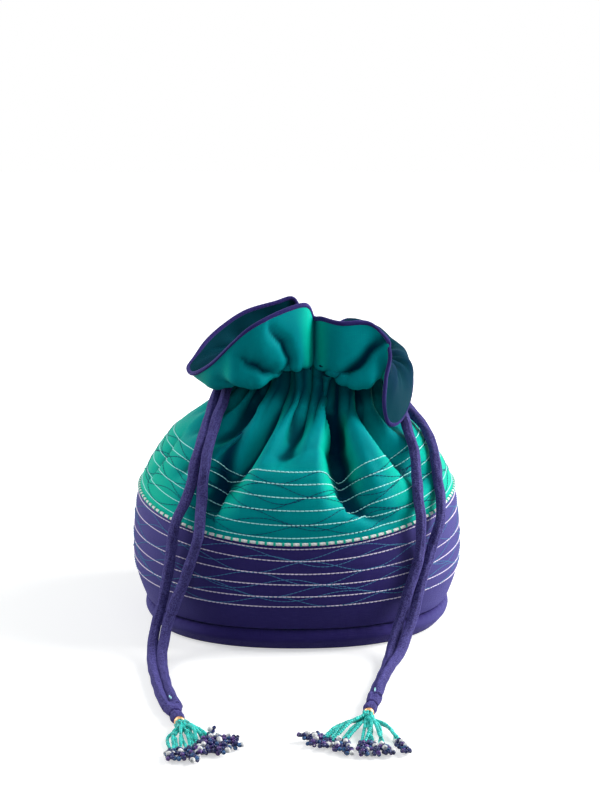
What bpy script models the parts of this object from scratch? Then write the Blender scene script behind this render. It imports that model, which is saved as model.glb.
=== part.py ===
"""A gathered cloth drawstring bag with a round base, a bound ruffle, two drawstrings and two bead tassels.

The bag stands on its base at the origin, +Z up. The front faces -Y and the right side +X. Sizes are metres.
Angles go round the bag from the front, 0, to the right side, 90, and the left side, -90.
"""

from math import ceil, cos, pi, radians, sin
from typing import NamedTuple

import bmesh
import bpy
from mathutils import Matrix, Vector

MM = 0.001

# Cloth and clearances
OUTER_CLOTH = 0.8 * MM
LINING_CLOTH = 0.6 * MM
BINDING_CLOTH = 0.45 * MM
BASE_CLOTH = 1.2 * MM
CLEARANCE = 0.3 * MM
LINING_GAP = 0.5 * MM

# Belly and base
BELLY_HALF_WIDTH = 100 * MM
BELLY_HALF_DEPTH = 97 * MM
BASE_ROLL_HALF_WIDTH = BELLY_HALF_WIDTH - 5.5 * MM
BASE_ROLL_HALF_DEPTH = BELLY_HALF_DEPTH - 5 * MM
FOOT_HALF_WIDTH = BASE_ROLL_HALF_WIDTH - 6.5 * MM
FOOT_HALF_DEPTH = BASE_ROLL_HALF_DEPTH - 8 * MM
BASE_HEIGHT = 13 * MM
BOARD_THICKNESS = 2 * MM
BOARD_MARGIN = 4 * MM
FLOOR_MARGIN = 2 * MM
SEAM_INSET = 1.5 * MM
SQUARENESS = 2.3

# Wall
BAND_HEIGHT = 66 * MM
SIDE_LIFT = 16 * MM
QUILT_HEIGHT = 106 * MM
QUILT_HALF_WIDTH = 75 * MM
QUILT_HALF_DEPTH = 88 * MM

# Gathered neck, with the channel that holds the drawstrings
NECK_HEIGHT = 149 * MM
NECK_HALF_WIDTH = 44 * MM
NECK_HALF_DEPTH = 38 * MM
NECK_SHIFT = 10 * MM
NECK_TILT = 5 * MM
CHANNEL_HEIGHT = 22 * MM
PLEAT_DEPTH = 6 * MM
LINING_PLEAT_DEPTH = 2.5 * MM
RING_TO_PLEATS = 0.4 * MM

# Drawstrings
CORD_DIAMETER = 6.5 * MM
CORD_POINT_SPACING = 2.4 * CORD_DIAMETER
EXIT_SPREAD = 4.5 * MM
EXIT_CLEARANCE = 1 * MM
EXIT_SLOT_LENGTH = 25 * MM
EXIT_CUT_MARGIN = 3 * MM
RING_START_ANGLE = 26
RING_POINTS = 16

# Trim
SEAM_CORD_DIAMETER = 2.2 * MM
BINDING_DEPTH = 2.6 * MM

# Tassels
WRAP_LENGTH = 22 * MM
WRAP_WIDTH = 13.4 * MM
WRAP_HEIGHT = 7 * MM
KNOB_DIAMETER = 9 * MM
GOLD_BEAD_DIAMETER = 5.6 * MM
GOLD_BEAD_LENGTH = 3.4 * MM
GOLD_BEAD_HOLE = 1.6 * MM
STRAND_DIAMETER = 1.9 * MM
STRAND_PITCH = STRAND_DIAMETER + CLEARANCE
TIP_BEAD_DIAMETER = 4.4 * MM
TIP_BEADS = 2
TIP_LENGTH = 15 * MM


class Station(NamedTuple):
    """One level of the wall: its height at the front and at the sides, and its half depth and half width."""

    front: float
    side: float
    depth: float
    width: float


class Level:
    """The numbers of the stations where pieces meet."""

    BASE_SEAM = 0
    BAND_SEAM = 3
    QUILT_TOP = 5
    CHANNEL_BOTTOM = 7
    CHANNEL_MIDDLE = 8
    CHANNEL_TOP = 9


STATIONS = [
    Station(BASE_HEIGHT, BASE_HEIGHT, BASE_ROLL_HALF_DEPTH - SEAM_INSET, BASE_ROLL_HALF_WIDTH - SEAM_INSET),
    Station(29 * MM, 33 * MM, BELLY_HALF_DEPTH - 1 * MM, BELLY_HALF_WIDTH - 0.5 * MM),
    Station(47 * MM, 57 * MM, BELLY_HALF_DEPTH, BELLY_HALF_WIDTH),
    Station(BAND_HEIGHT, BAND_HEIGHT + SIDE_LIFT, BELLY_HALF_DEPTH, BELLY_HALF_WIDTH - 4 * MM),
    Station(86 * MM, 100 * MM, BELLY_HALF_DEPTH - 2 * MM, BELLY_HALF_WIDTH - 13 * MM),
    Station(QUILT_HEIGHT, QUILT_HEIGHT + 9.5 * MM, QUILT_HALF_DEPTH, QUILT_HALF_WIDTH),
    Station(124 * MM, 127 * MM, 71 * MM, 61 * MM),
    Station(NECK_HEIGHT - CHANNEL_HEIGHT / 2, NECK_HEIGHT - CHANNEL_HEIGHT / 2,
            NECK_HALF_DEPTH + 8 * MM, NECK_HALF_WIDTH + 5 * MM),
    Station(NECK_HEIGHT, NECK_HEIGHT, NECK_HALF_DEPTH, NECK_HALF_WIDTH),
    Station(NECK_HEIGHT + CHANNEL_HEIGHT / 2, NECK_HEIGHT + CHANNEL_HEIGHT / 2,
            NECK_HALF_DEPTH + 2 * MM, NECK_HALF_WIDTH + 2 * MM),
]


class Fold(NamedTuple):
    """A valley of the gathered cloth: where it ends below its pleat, how deep it is and how wide it opens."""

    foot_angle: float
    foot_station: float
    depth: float
    half_angle: float


# One fold for each pleat of the neck, from the front pleat round through the right side.
FOLDS = [
    Fold(-8, 5.0, 10 * MM, 10),
    Fold(22, 3.6, 20 * MM, 14),
    Fold(56, 3.6, 14 * MM, 13),
    Fold(66, 5.2, 6 * MM, 10),
    Fold(82, 5.6, 5 * MM, 9),
    Fold(98, 5.4, 5 * MM, 9),
    Fold(116, 4.2, 12 * MM, 13),
    Fold(140, 5.2, 8 * MM, 10),
    Fold(156, 3.7, 18 * MM, 14),
    Fold(182, 5.1, 9 * MM, 10),
    Fold(-154, 4.0, 15 * MM, 13),
    Fold(-140, 5.3, 7 * MM, 10),
    Fold(-116, 3.8, 16 * MM, 14),
    Fold(-98, 5.5, 5 * MM, 9),
    Fold(-84, 5.6, 5 * MM, 9),
    Fold(-66, 5.0, 7 * MM, 10),
    Fold(-52, 5.0, 8 * MM, 10),
    Fold(-36, 3.3, 17 * MM, 14),
]
PLEAT_PITCH = 360 / len(FOLDS)
COLUMNS = 3 * len(FOLDS)


class EdgePoint(NamedTuple):
    """A point of the ruffle's bound edge, in millimetres from the middle of the channel's top.

    The cloth between it and the neck swells outwards and sags below a straight line.
    """

    neck_angle: float
    right: float
    back: float
    up: float
    swell: float
    sag: float


RUFFLE_EDGE = [
    EdgePoint(-170, -13, 38, 32, 5, 0),
    EdgePoint(-156, -24, 34, 29.5, 6, 2),
    EdgePoint(-140, -42, 26, 25, 7, 6),
    EdgePoint(-124, -56, 17, 17, 7, 7),
    EdgePoint(-110, -66, 7, 9, 5, 6),
    EdgePoint(-98, -73, -6, 0.5, 3, 4),
    EdgePoint(-89, -76.5, -19, -4, 2, 5),
    EdgePoint(-80, -72.5, -31, -5.5, 3, 12),
    EdgePoint(-66, -61, -45, 2.5, 6, 18),
    EdgePoint(-52, -48, -55, 16, 8, 18),
    EdgePoint(-40, -39, -58, 24.5, 9, 16),
    EdgePoint(-28, -28, -57, 31, 9, 14),
    EdgePoint(-16, -14, -51, 36.5, 8, 12),
    EdgePoint(-6, -4, -44, 37.5, 5, 8),
    EdgePoint(0, 0, -34, 29, 2, 5),
    EdgePoint(6, 5, -39, 29, 4, 8),
    EdgePoint(18, 16, -45, 27, 8, 13),
    EdgePoint(30, 32, -44, 27, 10, 13),
    EdgePoint(38, 41, -46, 20, 7, 8),
    EdgePoint(46, 45, -49, 9, 5, 0),
    EdgePoint(56, 42.5, -52, -7, 3, -6),
    EdgePoint(64, 41.5, -55, -22, 3, -9),
    EdgePoint(72, 44, -56, -32, 4, -10),
    EdgePoint(79, 50, -50, -33, 5, -9),
    EdgePoint(87, 56, -36, -27, 5, -8),
    EdgePoint(96, 60, -18, -16, 5, -8),
    EdgePoint(106, 60, 2, -10, 3, -8),
    EdgePoint(118, 53, 25, -2, 3, -8),
    EdgePoint(130, 40, 40, 10, 3, -7),
    EdgePoint(142, 24, 43, 17, 3, -6),
    EdgePoint(154, 12, 36, 15, 3, -4),
    EdgePoint(168, 0, 39.5, 19.5, 3, -3),
    EdgePoint(180, -8, 37, 25.5, 4, -2),
]


def smooth(share):
    """0 below 0, 1 above 1 and a smooth step between."""
    share = min(1.0, max(0.0, share))
    return share * share * (3 - 2 * share)


def catmull_rom(before, start, end, after, share):
    """A point between start and end on the smooth curve through four neighbours."""
    return (
        start
        + (end - before) * (share / 2)
        + (before * 2 - start * 5 + end * 4 - after) * (share**2 / 2)
        + (start * 3 - before - end * 3 + after) * (share**3 / 2)
    )


def station_at(level):
    """The wall's sizes at a level between two stations."""
    low = min(int(level), len(STATIONS) - 2)
    numbers = [min(max(low + step, 0), len(STATIONS) - 1) for step in (-1, 0, 1, 2)]
    around = [STATIONS[number] for number in numbers]
    return Station(*(catmull_rom(*sizes, level - low) for sizes in zip(*around)))


def turned(from_angle, to_angle):
    """The angle between two directions, from -180 to 180 degrees."""
    return (to_angle - from_angle + 180) % 360 - 180


def fold_depth(angle, level):
    """How deep the folds press the cloth in, at an angle in degrees and a level."""
    total = 0.0
    for number, fold in enumerate(FOLDS):
        share = (level - fold.foot_station) / (Level.CHANNEL_BOTTOM - fold.foot_station)
        share = min(share, 1.0)
        if share <= 0:
            continue
        centre = fold.foot_angle + turned(fold.foot_angle, number * PLEAT_PITCH) * share
        half = fold.half_angle + (PLEAT_PITCH / 2 - fold.half_angle) * share
        away = abs(turned(centre, angle)) / half
        if away < 1:
            depth = PLEAT_DEPTH * smooth(share) + (fold.depth - PLEAT_DEPTH / 2) * sin(pi * share)
            total += depth * cos(away * pi / 2) ** 2
    return total


def roundness(angle, level):
    """How much further out the squarish base and belly reach than an ellipse, at their corners."""
    s, c = abs(sin(radians(angle))), abs(cos(radians(angle)))
    full = (s**SQUARENESS + c**SQUARENESS) ** (-1 / SQUARENESS)
    return full + (1 - full) * smooth((level - Level.BAND_SEAM) / (Level.CHANNEL_BOTTOM - Level.BAND_SEAM))


def smooth_wall_point(angle, level):
    """The wall without its folds."""
    size = station_at(level)
    s, c = sin(radians(angle)), cos(radians(angle))
    out = roundness(angle, level)
    lean = smooth((level - Level.QUILT_TOP) / (Level.CHANNEL_MIDDLE - Level.QUILT_TOP))
    height = size.front * c * c + size.side * s * s
    return Vector((
        size.width * out * s + NECK_SHIFT * lean,
        -size.depth * out * c,
        height - NECK_TILT * s * lean,
    ))


def wall_point(angle, level):
    """The inner face of the outer cloth, from the base seam, 0, to the top of the channel, 9."""
    step = 0.05
    point = smooth_wall_point(angle, level)
    along = smooth_wall_point(angle + 1, level) - smooth_wall_point(angle - 1, level)
    up = smooth_wall_point(angle, level + step) - smooth_wall_point(angle, level - step)
    return point - along.cross(up).normalized() * fold_depth(angle, level)


def edge_at(angle):
    """The ruffle's edge above a neck angle, with its swell and sag, on a smooth closed curve."""
    count = len(RUFFLE_EDGE)
    after = next((i for i in range(count) if RUFFLE_EDGE[i].neck_angle > angle), 0)
    around = [RUFFLE_EDGE[(after + step) % count] for step in (-2, -1, 0, 1)]
    low, high = around[1].neck_angle, around[2].neck_angle
    share = (turned(low, angle) % 360) / (turned(low, high) % 360)
    return catmull_rom(*(Vector(point[1:]) * MM for point in around), share)


def ruffle_point(angle, share):
    """The ruffle between the top of the channel, 0, and its edge, 1."""
    right, back, up, swell, sag = edge_at(angle)
    foot = wall_point(angle, Level.CHANNEL_TOP)
    edge = Vector((NECK_SHIFT + right, back, STATIONS[Level.CHANNEL_TOP].front + up))
    out = Vector((sin(radians(angle)) * swell, -cos(radians(angle)) * swell, -sag))
    return foot.lerp(edge, share) + out * sin(pi * share)


def angles_round():
    """The angle of each column of the cloth, from the back."""
    return [-180 + 360 * column / COLUMNS for column in range(COLUMNS)]


def wall_ring(level, rise=0.0):
    """The cloth's points round the bag at one level."""
    return [wall_point(angle, level) + Vector((0, 0, rise)) for angle in angles_round()]


def ruffle_ring(share):
    return [ruffle_point(angle, share) for angle in angles_round()]


def ellipse_ring(half_width, half_depth, height, centre_x=0.0, tilt=0.0, squarish=True):
    """A level ring of the base, or a tilted one at the neck."""
    ring = []
    for angle in angles_round():
        s, c = sin(radians(angle)), cos(radians(angle))
        out = roundness(angle, Level.BASE_SEAM) if squarish else 1.0
        ring.append(Vector((centre_x + half_width * out * s, -half_depth * out * c, height - tilt * s)))
    return ring


def material(name, colour, roughness, metallic=0.0):
    found = bpy.data.materials.get(name)
    if found:
        return found
    made = bpy.data.materials.new(name)
    made.use_nodes = True
    shader = made.node_tree.nodes["Principled BSDF"]
    shader.inputs["Base Color"].default_value = (*colour, 1)
    shader.inputs["Roughness"].default_value = roughness
    shader.inputs["Metallic"].default_value = metallic
    return made


def teal_silk():
    return material("teal_silk", (0.0, 0.24, 0.26), 0.45)


def teal_lining():
    return material("teal_lining", (0.0, 0.16, 0.2), 0.6)


def indigo_silk():
    return material("indigo_silk", (0.028, 0.02, 0.12), 0.55)


def white_cord():
    return material("white_cord", (0.8, 0.8, 0.76), 0.7)


def grey_board():
    return material("grey_board", (0.35, 0.33, 0.3), 0.9)


def gold():
    return material("gold", (0.75, 0.45, 0.2), 0.3, 1.0)


def turquoise_glass():
    return material("turquoise_glass", (0.05, 0.55, 0.52), 0.2)


def navy_glass():
    return material("navy_glass", (0.01, 0.02, 0.14), 0.2)


def finish(bm, name, paint):
    """A mesh object of a bmesh, shaded smooth."""
    mesh = bpy.data.meshes.new(name)
    bm.to_mesh(mesh)
    bm.free()
    mesh.shade_smooth()
    mesh.set_sharp_from_angle(angle=radians(50))
    mesh.materials.append(paint)
    made = bpy.data.objects.new(name, mesh)
    bpy.context.collection.objects.link(made)
    return made


def skin(rings, closed_start=False, closed_end=False, rings_joined=False):
    """A bmesh lofted through rings of as many points each, with its quads split the same way on every layer."""
    bm = bmesh.new()
    rows = [[bm.verts.new(point) for point in ring] for ring in rings]
    pairs = list(zip(rows, rows[1:]))
    if rings_joined:
        pairs.append((rows[-1], rows[0]))
    for low, high in pairs:
        for column in range(len(low)):
            after = (column + 1) % len(low)
            bm.faces.new((low[column], low[after], high[after], high[column]))
    bmesh.ops.triangulate(bm, faces=bm.faces, quad_method="SHORT_EDGE")
    if closed_start:
        bm.faces.new(reversed(rows[0]))
    if closed_end:
        bm.faces.new(rows[-1])
    return bm


def cloth(rings, name, paint, thickness, outward, closed_start=False):
    """A shell of cloth with one face on the rings and the other outside or inside them."""
    made = finish(skin(rings, closed_start), name, paint)
    wall = made.modifiers.new("thickness", "SOLIDIFY")
    wall.thickness = thickness
    wall.offset = 1 if outward else -1
    return made


def moved_along_normals(rings, distance):
    """The same rings, moved outwards along the normals of the surface through them."""
    bm = skin(rings)
    bm.normal_update()
    moved = iter([vertex.co + vertex.normal * distance for vertex in bm.verts])
    bm.free()
    return [[next(moved) for _ in ring] for ring in rings]


def base_height_rings():
    """The base's outer face, from the floor up to its seam."""
    top = BASE_HEIGHT - CLEARANCE / 2
    roll_width, roll_depth = BASE_ROLL_HALF_WIDTH, BASE_ROLL_HALF_DEPTH
    return [
        ellipse_ring(FOOT_HALF_WIDTH, FOOT_HALF_DEPTH, 0),
        ellipse_ring(
            (FOOT_HALF_WIDTH + roll_width * 2) / 3, (FOOT_HALF_DEPTH + roll_depth * 2) / 3, top * 0.14),
        ellipse_ring(roll_width, roll_depth, top * 0.48),
        ellipse_ring(roll_width - 0.7 * MM, roll_depth - 0.7 * MM, top),
    ]


def make_base_panel():
    return cloth(base_height_rings(), "base_panel", indigo_silk(), BASE_CLOTH, False, closed_start=True)


def board_top():
    return BASE_CLOTH + CLEARANCE + BOARD_THICKNESS


def make_base_board():
    """The stiff disc that keeps the base flat, between the base cloth and the lining."""
    half_width = FOOT_HALF_WIDTH - BOARD_MARGIN
    half_depth = FOOT_HALF_DEPTH - BOARD_MARGIN
    rings = [
        ellipse_ring(half_width, half_depth, BASE_CLOTH + CLEARANCE),
        ellipse_ring(half_width, half_depth, board_top()),
    ]
    return finish(skin(rings, True, True), "base_board", grey_board())


def make_lower_band():
    gap = CLEARANCE / 2
    rings = [wall_ring(Level.BASE_SEAM, gap), wall_ring(1), wall_ring(2), wall_ring(Level.BAND_SEAM, -gap)]
    return cloth(rings, "lower_band", indigo_silk(), OUTER_CLOTH, True)


def ruffle_rings():
    """The ruffle's rows above the channel. The last two are the foot and the edge of its bound hem."""
    low, middle, high, edge = (ruffle_ring(share) for share in (0.2, 0.45, 0.75, 1))
    hem = [top + (foot - top).normalized() * BINDING_DEPTH for foot, top in zip(high, edge)]
    return [low, middle, high, hem, edge]


def upper_rings():
    """The upper wall's inner face, from the band seam to the ruffle's edge."""
    rings = [wall_ring(Level.BAND_SEAM, CLEARANCE / 2)]
    rings += [wall_ring(level) for level in range(Level.BAND_SEAM + 1, Level.CHANNEL_TOP + 1)]
    return rings + ruffle_rings()


def make_upper_wall():
    made = cloth(upper_rings(), "upper_wall", teal_silk(), OUTER_CLOTH, True)
    for side, cord_height in ((-1, LEFT_CORD_RISE), (1, RIGHT_CORD_RISE)):
        cut = made.modifiers.new("cord exit", "BOOLEAN")
        cut.object = exit_cutter(side, cord_height)
    return made


def ring_half_width():
    """The cord ring lies inside the channel, just clear of the pleats' valleys."""
    return NECK_HALF_WIDTH - PLEAT_DEPTH - CLEARANCE - CORD_DIAMETER / 2 - RING_TO_PLEATS


def ring_half_depth():
    return NECK_HALF_DEPTH - PLEAT_DEPTH - CLEARANCE - CORD_DIAMETER / 2 - RING_TO_PLEATS


LEFT_CORD_RISE = -(CORD_DIAMETER + CLEARANCE) / 2
RIGHT_CORD_RISE = (CORD_DIAMETER + CLEARANCE) / 2


def exit_cutter(side, cord_rise):
    """A flat slot with round ends through the outer cloth, where both ends of one drawstring come out."""
    height = CORD_DIAMETER + 2 * EXIT_CLEARANCE
    half_length = (EXIT_SLOT_LENGTH - height) / 2
    steps = 6
    outline = []
    for end in (1, -1):
        for step in range(steps + 1):
            turn = pi * step / steps - pi / 2
            outline.append((end * (half_length + cos(turn) * height / 2), end * sin(turn) * height / 2))
    centre = Vector((NECK_SHIFT + side * NECK_HALF_WIDTH, 0, NECK_HEIGHT + cord_rise - NECK_TILT * side))
    reach = PLEAT_DEPTH + EXIT_CUT_MARGIN
    rings = [[centre + Vector((along, y, z)) for y, z in outline] for along in (-reach, reach)]
    made = finish(skin(rings, True, True), "exit_cutter", grey_board())
    made.hide_render = True
    made.display_type = "WIRE"
    return made


def lining_rings():
    """The lining's outer face: the floor, the wall, the inner side of the channel and the ruffle."""
    floor = board_top() + CLEARANCE
    inset = BASE_CLOTH + CLEARANCE + FLOOR_MARGIN
    seam = (BASE_ROLL_HALF_WIDTH - inset, BASE_ROLL_HALF_DEPTH - inset)
    levels = (Level.BASE_SEAM, *range(2, Level.CHANNEL_BOTTOM + 1))
    wall = moved_along_normals([wall_ring(level) for level in levels], -LINING_GAP)
    rows_above_channel = len(ruffle_rings()) + 1
    ruffle = moved_along_normals(upper_rings(), -LINING_GAP)[-rows_above_channel:]
    return [
        ellipse_ring(FOOT_HALF_WIDTH - inset, FOOT_HALF_DEPTH - inset, floor),
        ellipse_ring(*seam, BASE_HEIGHT),
        *wall[1:],
        channel_ring(-1),
        channel_ring(1),
        *ruffle,
    ]


def channel_ring(end):
    """The lining's pleated inner side of the channel, just clear of the cords, at its lower or upper end."""
    clear = CORD_DIAMETER / 2 + 3 * CLEARANCE
    half_height = CORD_DIAMETER + 2 * CLEARANCE
    level = NECK_HEIGHT + end * half_height
    width, depth = ring_half_width() - clear, ring_half_depth() - clear
    ring = ellipse_ring(width, depth, level, NECK_SHIFT, NECK_TILT, False)
    centre = Vector((NECK_SHIFT, 0, 0))
    pleated = []
    for angle, point in zip(angles_round(), ring):
        inward = Vector((centre.x - point.x, centre.y - point.y, 0)).normalized()
        pleat = LINING_PLEAT_DEPTH * (1 + cos(2 * pi * angle / PLEAT_PITCH)) / 2
        pleated.append(point + inward * pleat)
    return pleated


def make_lining():
    return cloth(lining_rings(), "lining", teal_lining(), LINING_CLOTH, False, closed_start=True)


def make_seam_cord():
    """The white cord laid round the outside of the band seam."""
    reach = OUTER_CLOTH + CLEARANCE + SEAM_CORD_DIAMETER / 2
    line = moved_along_normals([wall_ring(2.5), wall_ring(Level.BAND_SEAM), wall_ring(3.5)], reach)[1]
    return tube("seam_cord", line, SEAM_CORD_DIAMETER, white_cord(), resolution=1, closed=True)


def make_edge_binding():
    """A strip folded over the ruffle's two raw edges, with a section like a U."""
    outside = OUTER_CLOTH + 2 * CLEARANCE
    inside = -(LINING_GAP + LINING_CLOTH + 2.5 * CLEARANCE)
    rows = []
    for distance, past_edge in (
        (outside, CLEARANCE),
        (inside, CLEARANCE),
        (inside - BINDING_CLOTH, CLEARANCE + BINDING_CLOTH),
        (outside + BINDING_CLOTH, CLEARANCE + BINDING_CLOTH),
    ):
        hem, edge = moved_along_normals(upper_rings(), distance)[-2:]
        over = [top + (top - foot).normalized() * past_edge for foot, top in zip(hem, edge)]
        rows.append([hem, over])
    near_outside, near_inside, far_inside, far_outside = rows
    section = [*reversed(near_outside), *far_outside, *reversed(far_inside), *near_inside]
    return finish(skin(section, rings_joined=True), "edge_binding", indigo_silk())


def tube(name, line, diameter, paint, resolution=2, closed=False):
    """A curve object of a round cord along a line of points."""
    data = bpy.data.curves.new(name, "CURVE")
    data.dimensions = "3D"
    data.bevel_depth = diameter / 2
    data.bevel_resolution = resolution
    data.use_fill_caps = not closed
    spline = data.splines.new("POLY")
    spline.points.add(len(line) - 1)
    for point, place in zip(spline.points, line):
        point.co = (*place, 1)
    spline.use_cyclic_u = closed
    data.materials.append(paint)
    made = bpy.data.objects.new(name, data)
    bpy.context.collection.objects.link(made)
    return made


def through(points, spacing):
    """Points about spacing apart on the smooth curve through the given ones."""
    ends = [points[0] * 2 - points[1], *points, points[-1] * 2 - points[-2]]
    fine = []
    for number in range(1, len(ends) - 2):
        fine += [catmull_rom(*ends[number - 1:number + 3], step / 16) for step in range(16)]
    fine.append(points[-1])
    lengths = [(after - before).length for before, after in zip(fine, fine[1:])]
    count = ceil(sum(lengths) / spacing)
    wanted, run, line = sum(lengths) / count, 0.0, [fine[0]]
    for after, length in zip(fine[1:], lengths):
        run += length
        if run >= wanted * len(line) - 1e-9 and len(line) < count:
            line.append(after)
    return [*line, fine[-1]]


def channel_run(side, cord_rise):
    """The hidden run of a drawstring: from its exit, round the neck inside the channel and back to the exit."""
    half_width, half_depth = ring_half_width(), ring_half_depth()
    height = NECK_HEIGHT + cord_rise
    run = []
    for step in range(RING_POINTS + 1):
        away = RING_START_ANGLE + (360 - 2 * RING_START_ANGLE) * step / RING_POINTS
        s, c = sin(radians(away)), cos(radians(away))
        x = side * half_width * c
        run.append(Vector((NECK_SHIFT + x, -half_depth * s, height - NECK_TILT * x / half_width)))
    wall = side * NECK_HALF_WIDTH
    leave = Vector((NECK_SHIFT + wall + side * 2 * MM, -EXIT_SPREAD, height - NECK_TILT * side))
    bend = Vector((
        NECK_SHIFT + side * (half_width + 1.2 * MM), -EXIT_SPREAD - 1.6 * MM, height - NECK_TILT * side))
    mirrored = [Vector((point.x, -point.y, point.z)) for point in (leave, bend)]
    return [leave, bend, *run, mirrored[1], mirrored[0]]


# Where the four free strands lie, from their exits to the wraps, in millimetres: down the shoulder, over the
# belly, down to the floor and along it.
LEFT_FRONT_STRAND = [
    (-41.2, -14, 146), (-44, -29.3, 137.2), (-47.4, -44.2, 129.8), (-49.6, -55.2, 122.7), (-51.5, -68, 115.9),
    (-53.3, -76.2, 105), (-54.5, -77.5, 95.5), (-55, -81.5, 86), (-55.5, -90.2, 77), (-56.5, -93.6, 68),
    (-59, -91, 60), (-62, -90.5, 50.5), (-66, -90.5, 39.5), (-70.5, -92, 29), (-74, -95.5, 19.5),
    (-76, -104, 10.5), (-76, -118, 4.8), (-73.3, -137, 3.6), (-69, -160, 3.6), (-65.8, -175, 3.6),
    (-62.4, -188, 3.6),
]
LEFT_BACK_STRAND = [
    (-43, 2.6, 148.3), (-47, -6.5, 142.3), (-51.2, -18, 137.3), (-53.5, -32.5, 129.7), (-57.8, -50, 122.4),
    (-59.8, -62.4, 115.1), (-61.4, -69.3, 106.4), (-63, -73.5, 97), (-65.3, -76, 88), (-68.9, -82.6, 78),
    (-71.6, -84, 68), (-72.8, -82, 58), (-74, -82.5, 50), (-76.5, -84.5, 36), (-79.3, -88.5, 24.5),
    (-82, -96, 14), (-83, -107, 6.2), (-82.6, -120, 4), (-80.4, -136, 3.6), (-75.9, -160, 3.6),
    (-72.6, -176, 3.6), (-69.2, -190, 3.6),
]
RIGHT_FRONT_STRAND = [
    (59, -12.5, 141.5), (62.8, -23, 132.3), (65.5, -34, 125.5), (67, -43, 119.3), (69.5, -50.5, 112.5),
    (70.3, -57.5, 104), (70.6, -65.5, 96), (71, -72.5, 87.5), (72, -80.3, 78.5), (72.2, -82.2, 68.5),
    (71.5, -82, 58.5), (70.8, -83.5, 53), (68.8, -85, 47), (64.9, -87.5, 35), (61.3, -90.5, 23.5),
    (57, -97, 12.7), (53.5, -108, 6), (51, -121, 4), (47.4, -137, 3.6), (42.6, -158, 3.6), (38.7, -179, 3.6),
]
RIGHT_BACK_STRAND = [
    (60.3, 6.3, 141), (65.8, 3.5, 132.5), (73.4, -3.5, 123.8), (79, -14, 117.6), (82, -29.5, 110.5),
    (83.3, -41.5, 102.5), (84, -49.5, 94), (85, -60.3, 84.5), (84.6, -68.8, 76), (82.3, -73.5, 67.5),
    (79.3, -75.5, 59.3), (77, -78.5, 51.7), (74.5, -81, 46), (71.8, -85.3, 33), (68.6, -92, 20.5),
    (64.5, -101, 11.5), (61.5, -112, 6), (58.5, -123, 4), (54.4, -138, 3.6), (49.5, -159, 3.6),
    (45.6, -180, 3.6),
]


def route(points):
    return [Vector(point) * MM for point in points]


def make_drawstring(name, side, cord_rise, front, back):
    """One whole cord: up its front strand, round the neck in the channel, and down its back strand."""
    run = channel_run(side, cord_rise)
    line = through([*reversed(route(front)), *run, *route(back)], CORD_POINT_SPACING)
    return tube(name, line, CORD_DIAMETER, indigo_silk())


def axis_frame(origin, direction):
    """A frame whose Z points along a direction, with its X level."""
    z = direction.normalized()
    x = Vector((0, 0, 1)).cross(z).normalized()
    frame = Matrix((x, z.cross(x), z)).transposed().to_4x4()
    frame.translation = origin
    return frame


def lathe(profile, sides, frame):
    """Rings of a turned shape: (distance along, half width, half height) down its axis."""
    rings = []
    for along, half_width, half_height in profile:
        rings.append([
            frame @ Vector((half_width * cos(2 * pi * i / sides), half_height * sin(2 * pi * i / sides), along))
            for i in range(sides)
        ])
    return rings


def wrap_frame(front, back):
    """The wrap's frame: it starts one clearance past the two strands' ends and runs the way that they run."""
    ends = [route(front), route(back)]
    direction = sum((end[-1] - end[-2] for end in ends), Vector())
    direction.z = 0
    direction.normalize()
    middle = (ends[0][-1] + ends[1][-1]) / 2
    furthest = max((end[-1] - middle).dot(direction) for end in ends)
    return axis_frame(middle + direction * (furthest + 2 * CLEARANCE), direction)


def make_tassel(side_name, front, back):
    """The sewn end of one drawstring, its gold bead and its strings of beads on the floor."""
    frame = wrap_frame(front, back)
    half_width, half_height, knob = WRAP_WIDTH / 2, WRAP_HEIGHT / 2, KNOB_DIAMETER / 2
    profile = [
        (0, half_width * 0.9, half_height * 0.85),
        (0.16 * WRAP_LENGTH, half_width, half_height),
        (0.42 * WRAP_LENGTH, half_width * 0.74, half_height * 0.98),
        (0.58 * WRAP_LENGTH, knob * 0.76, knob * 0.72),
        (0.7 * WRAP_LENGTH, knob, knob * 0.76),
        (0.88 * WRAP_LENGTH, knob * 0.94, knob * 0.76),
        (WRAP_LENGTH, knob * 0.55, knob * 0.5),
    ]
    finish(skin(lathe(profile, 12, frame), True, True), f"cord_wrap_{side_name}", indigo_silk())
    bead_start = WRAP_LENGTH + CLEARANCE
    make_gold_bead(side_name, frame, bead_start)
    reach, directions = TASSELS[side_name]
    for number, direction in enumerate(directions):
        make_strand(side_name, number, frame, bead_start + GOLD_BEAD_LENGTH + CLEARANCE, reach, direction)


def make_gold_bead(side_name, frame, start):
    """A round bead with the threads' hole through it."""
    radius, hole, length = GOLD_BEAD_DIAMETER / 2, GOLD_BEAD_HOLE / 2, GOLD_BEAD_LENGTH
    profile = [
        (start, hole, hole), (start, radius * 0.6, radius * 0.6),
        (start + length * 0.25, radius * 0.93, radius * 0.93),
        (start + length * 0.5, radius, radius), (start + length * 0.75, radius * 0.93, radius * 0.93),
        (start + length, radius * 0.6, radius * 0.6), (start + length, hole, hole),
    ]
    finish(skin(lathe(profile, 12, frame), rings_joined=True), f"gold_bead_{side_name}", gold())


# How far each tassel's strings reach from their gold bead, and the way that each one points: 0 is straight to
# the front, and more is to the right.
TASSELS = {
    "left": (27 * MM, (-1, 8, 17, 27, 38, 48, 58)),
    "right": (31 * MM, (-50, -38, -27, -12, -1, 9, 21)),
}


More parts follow.
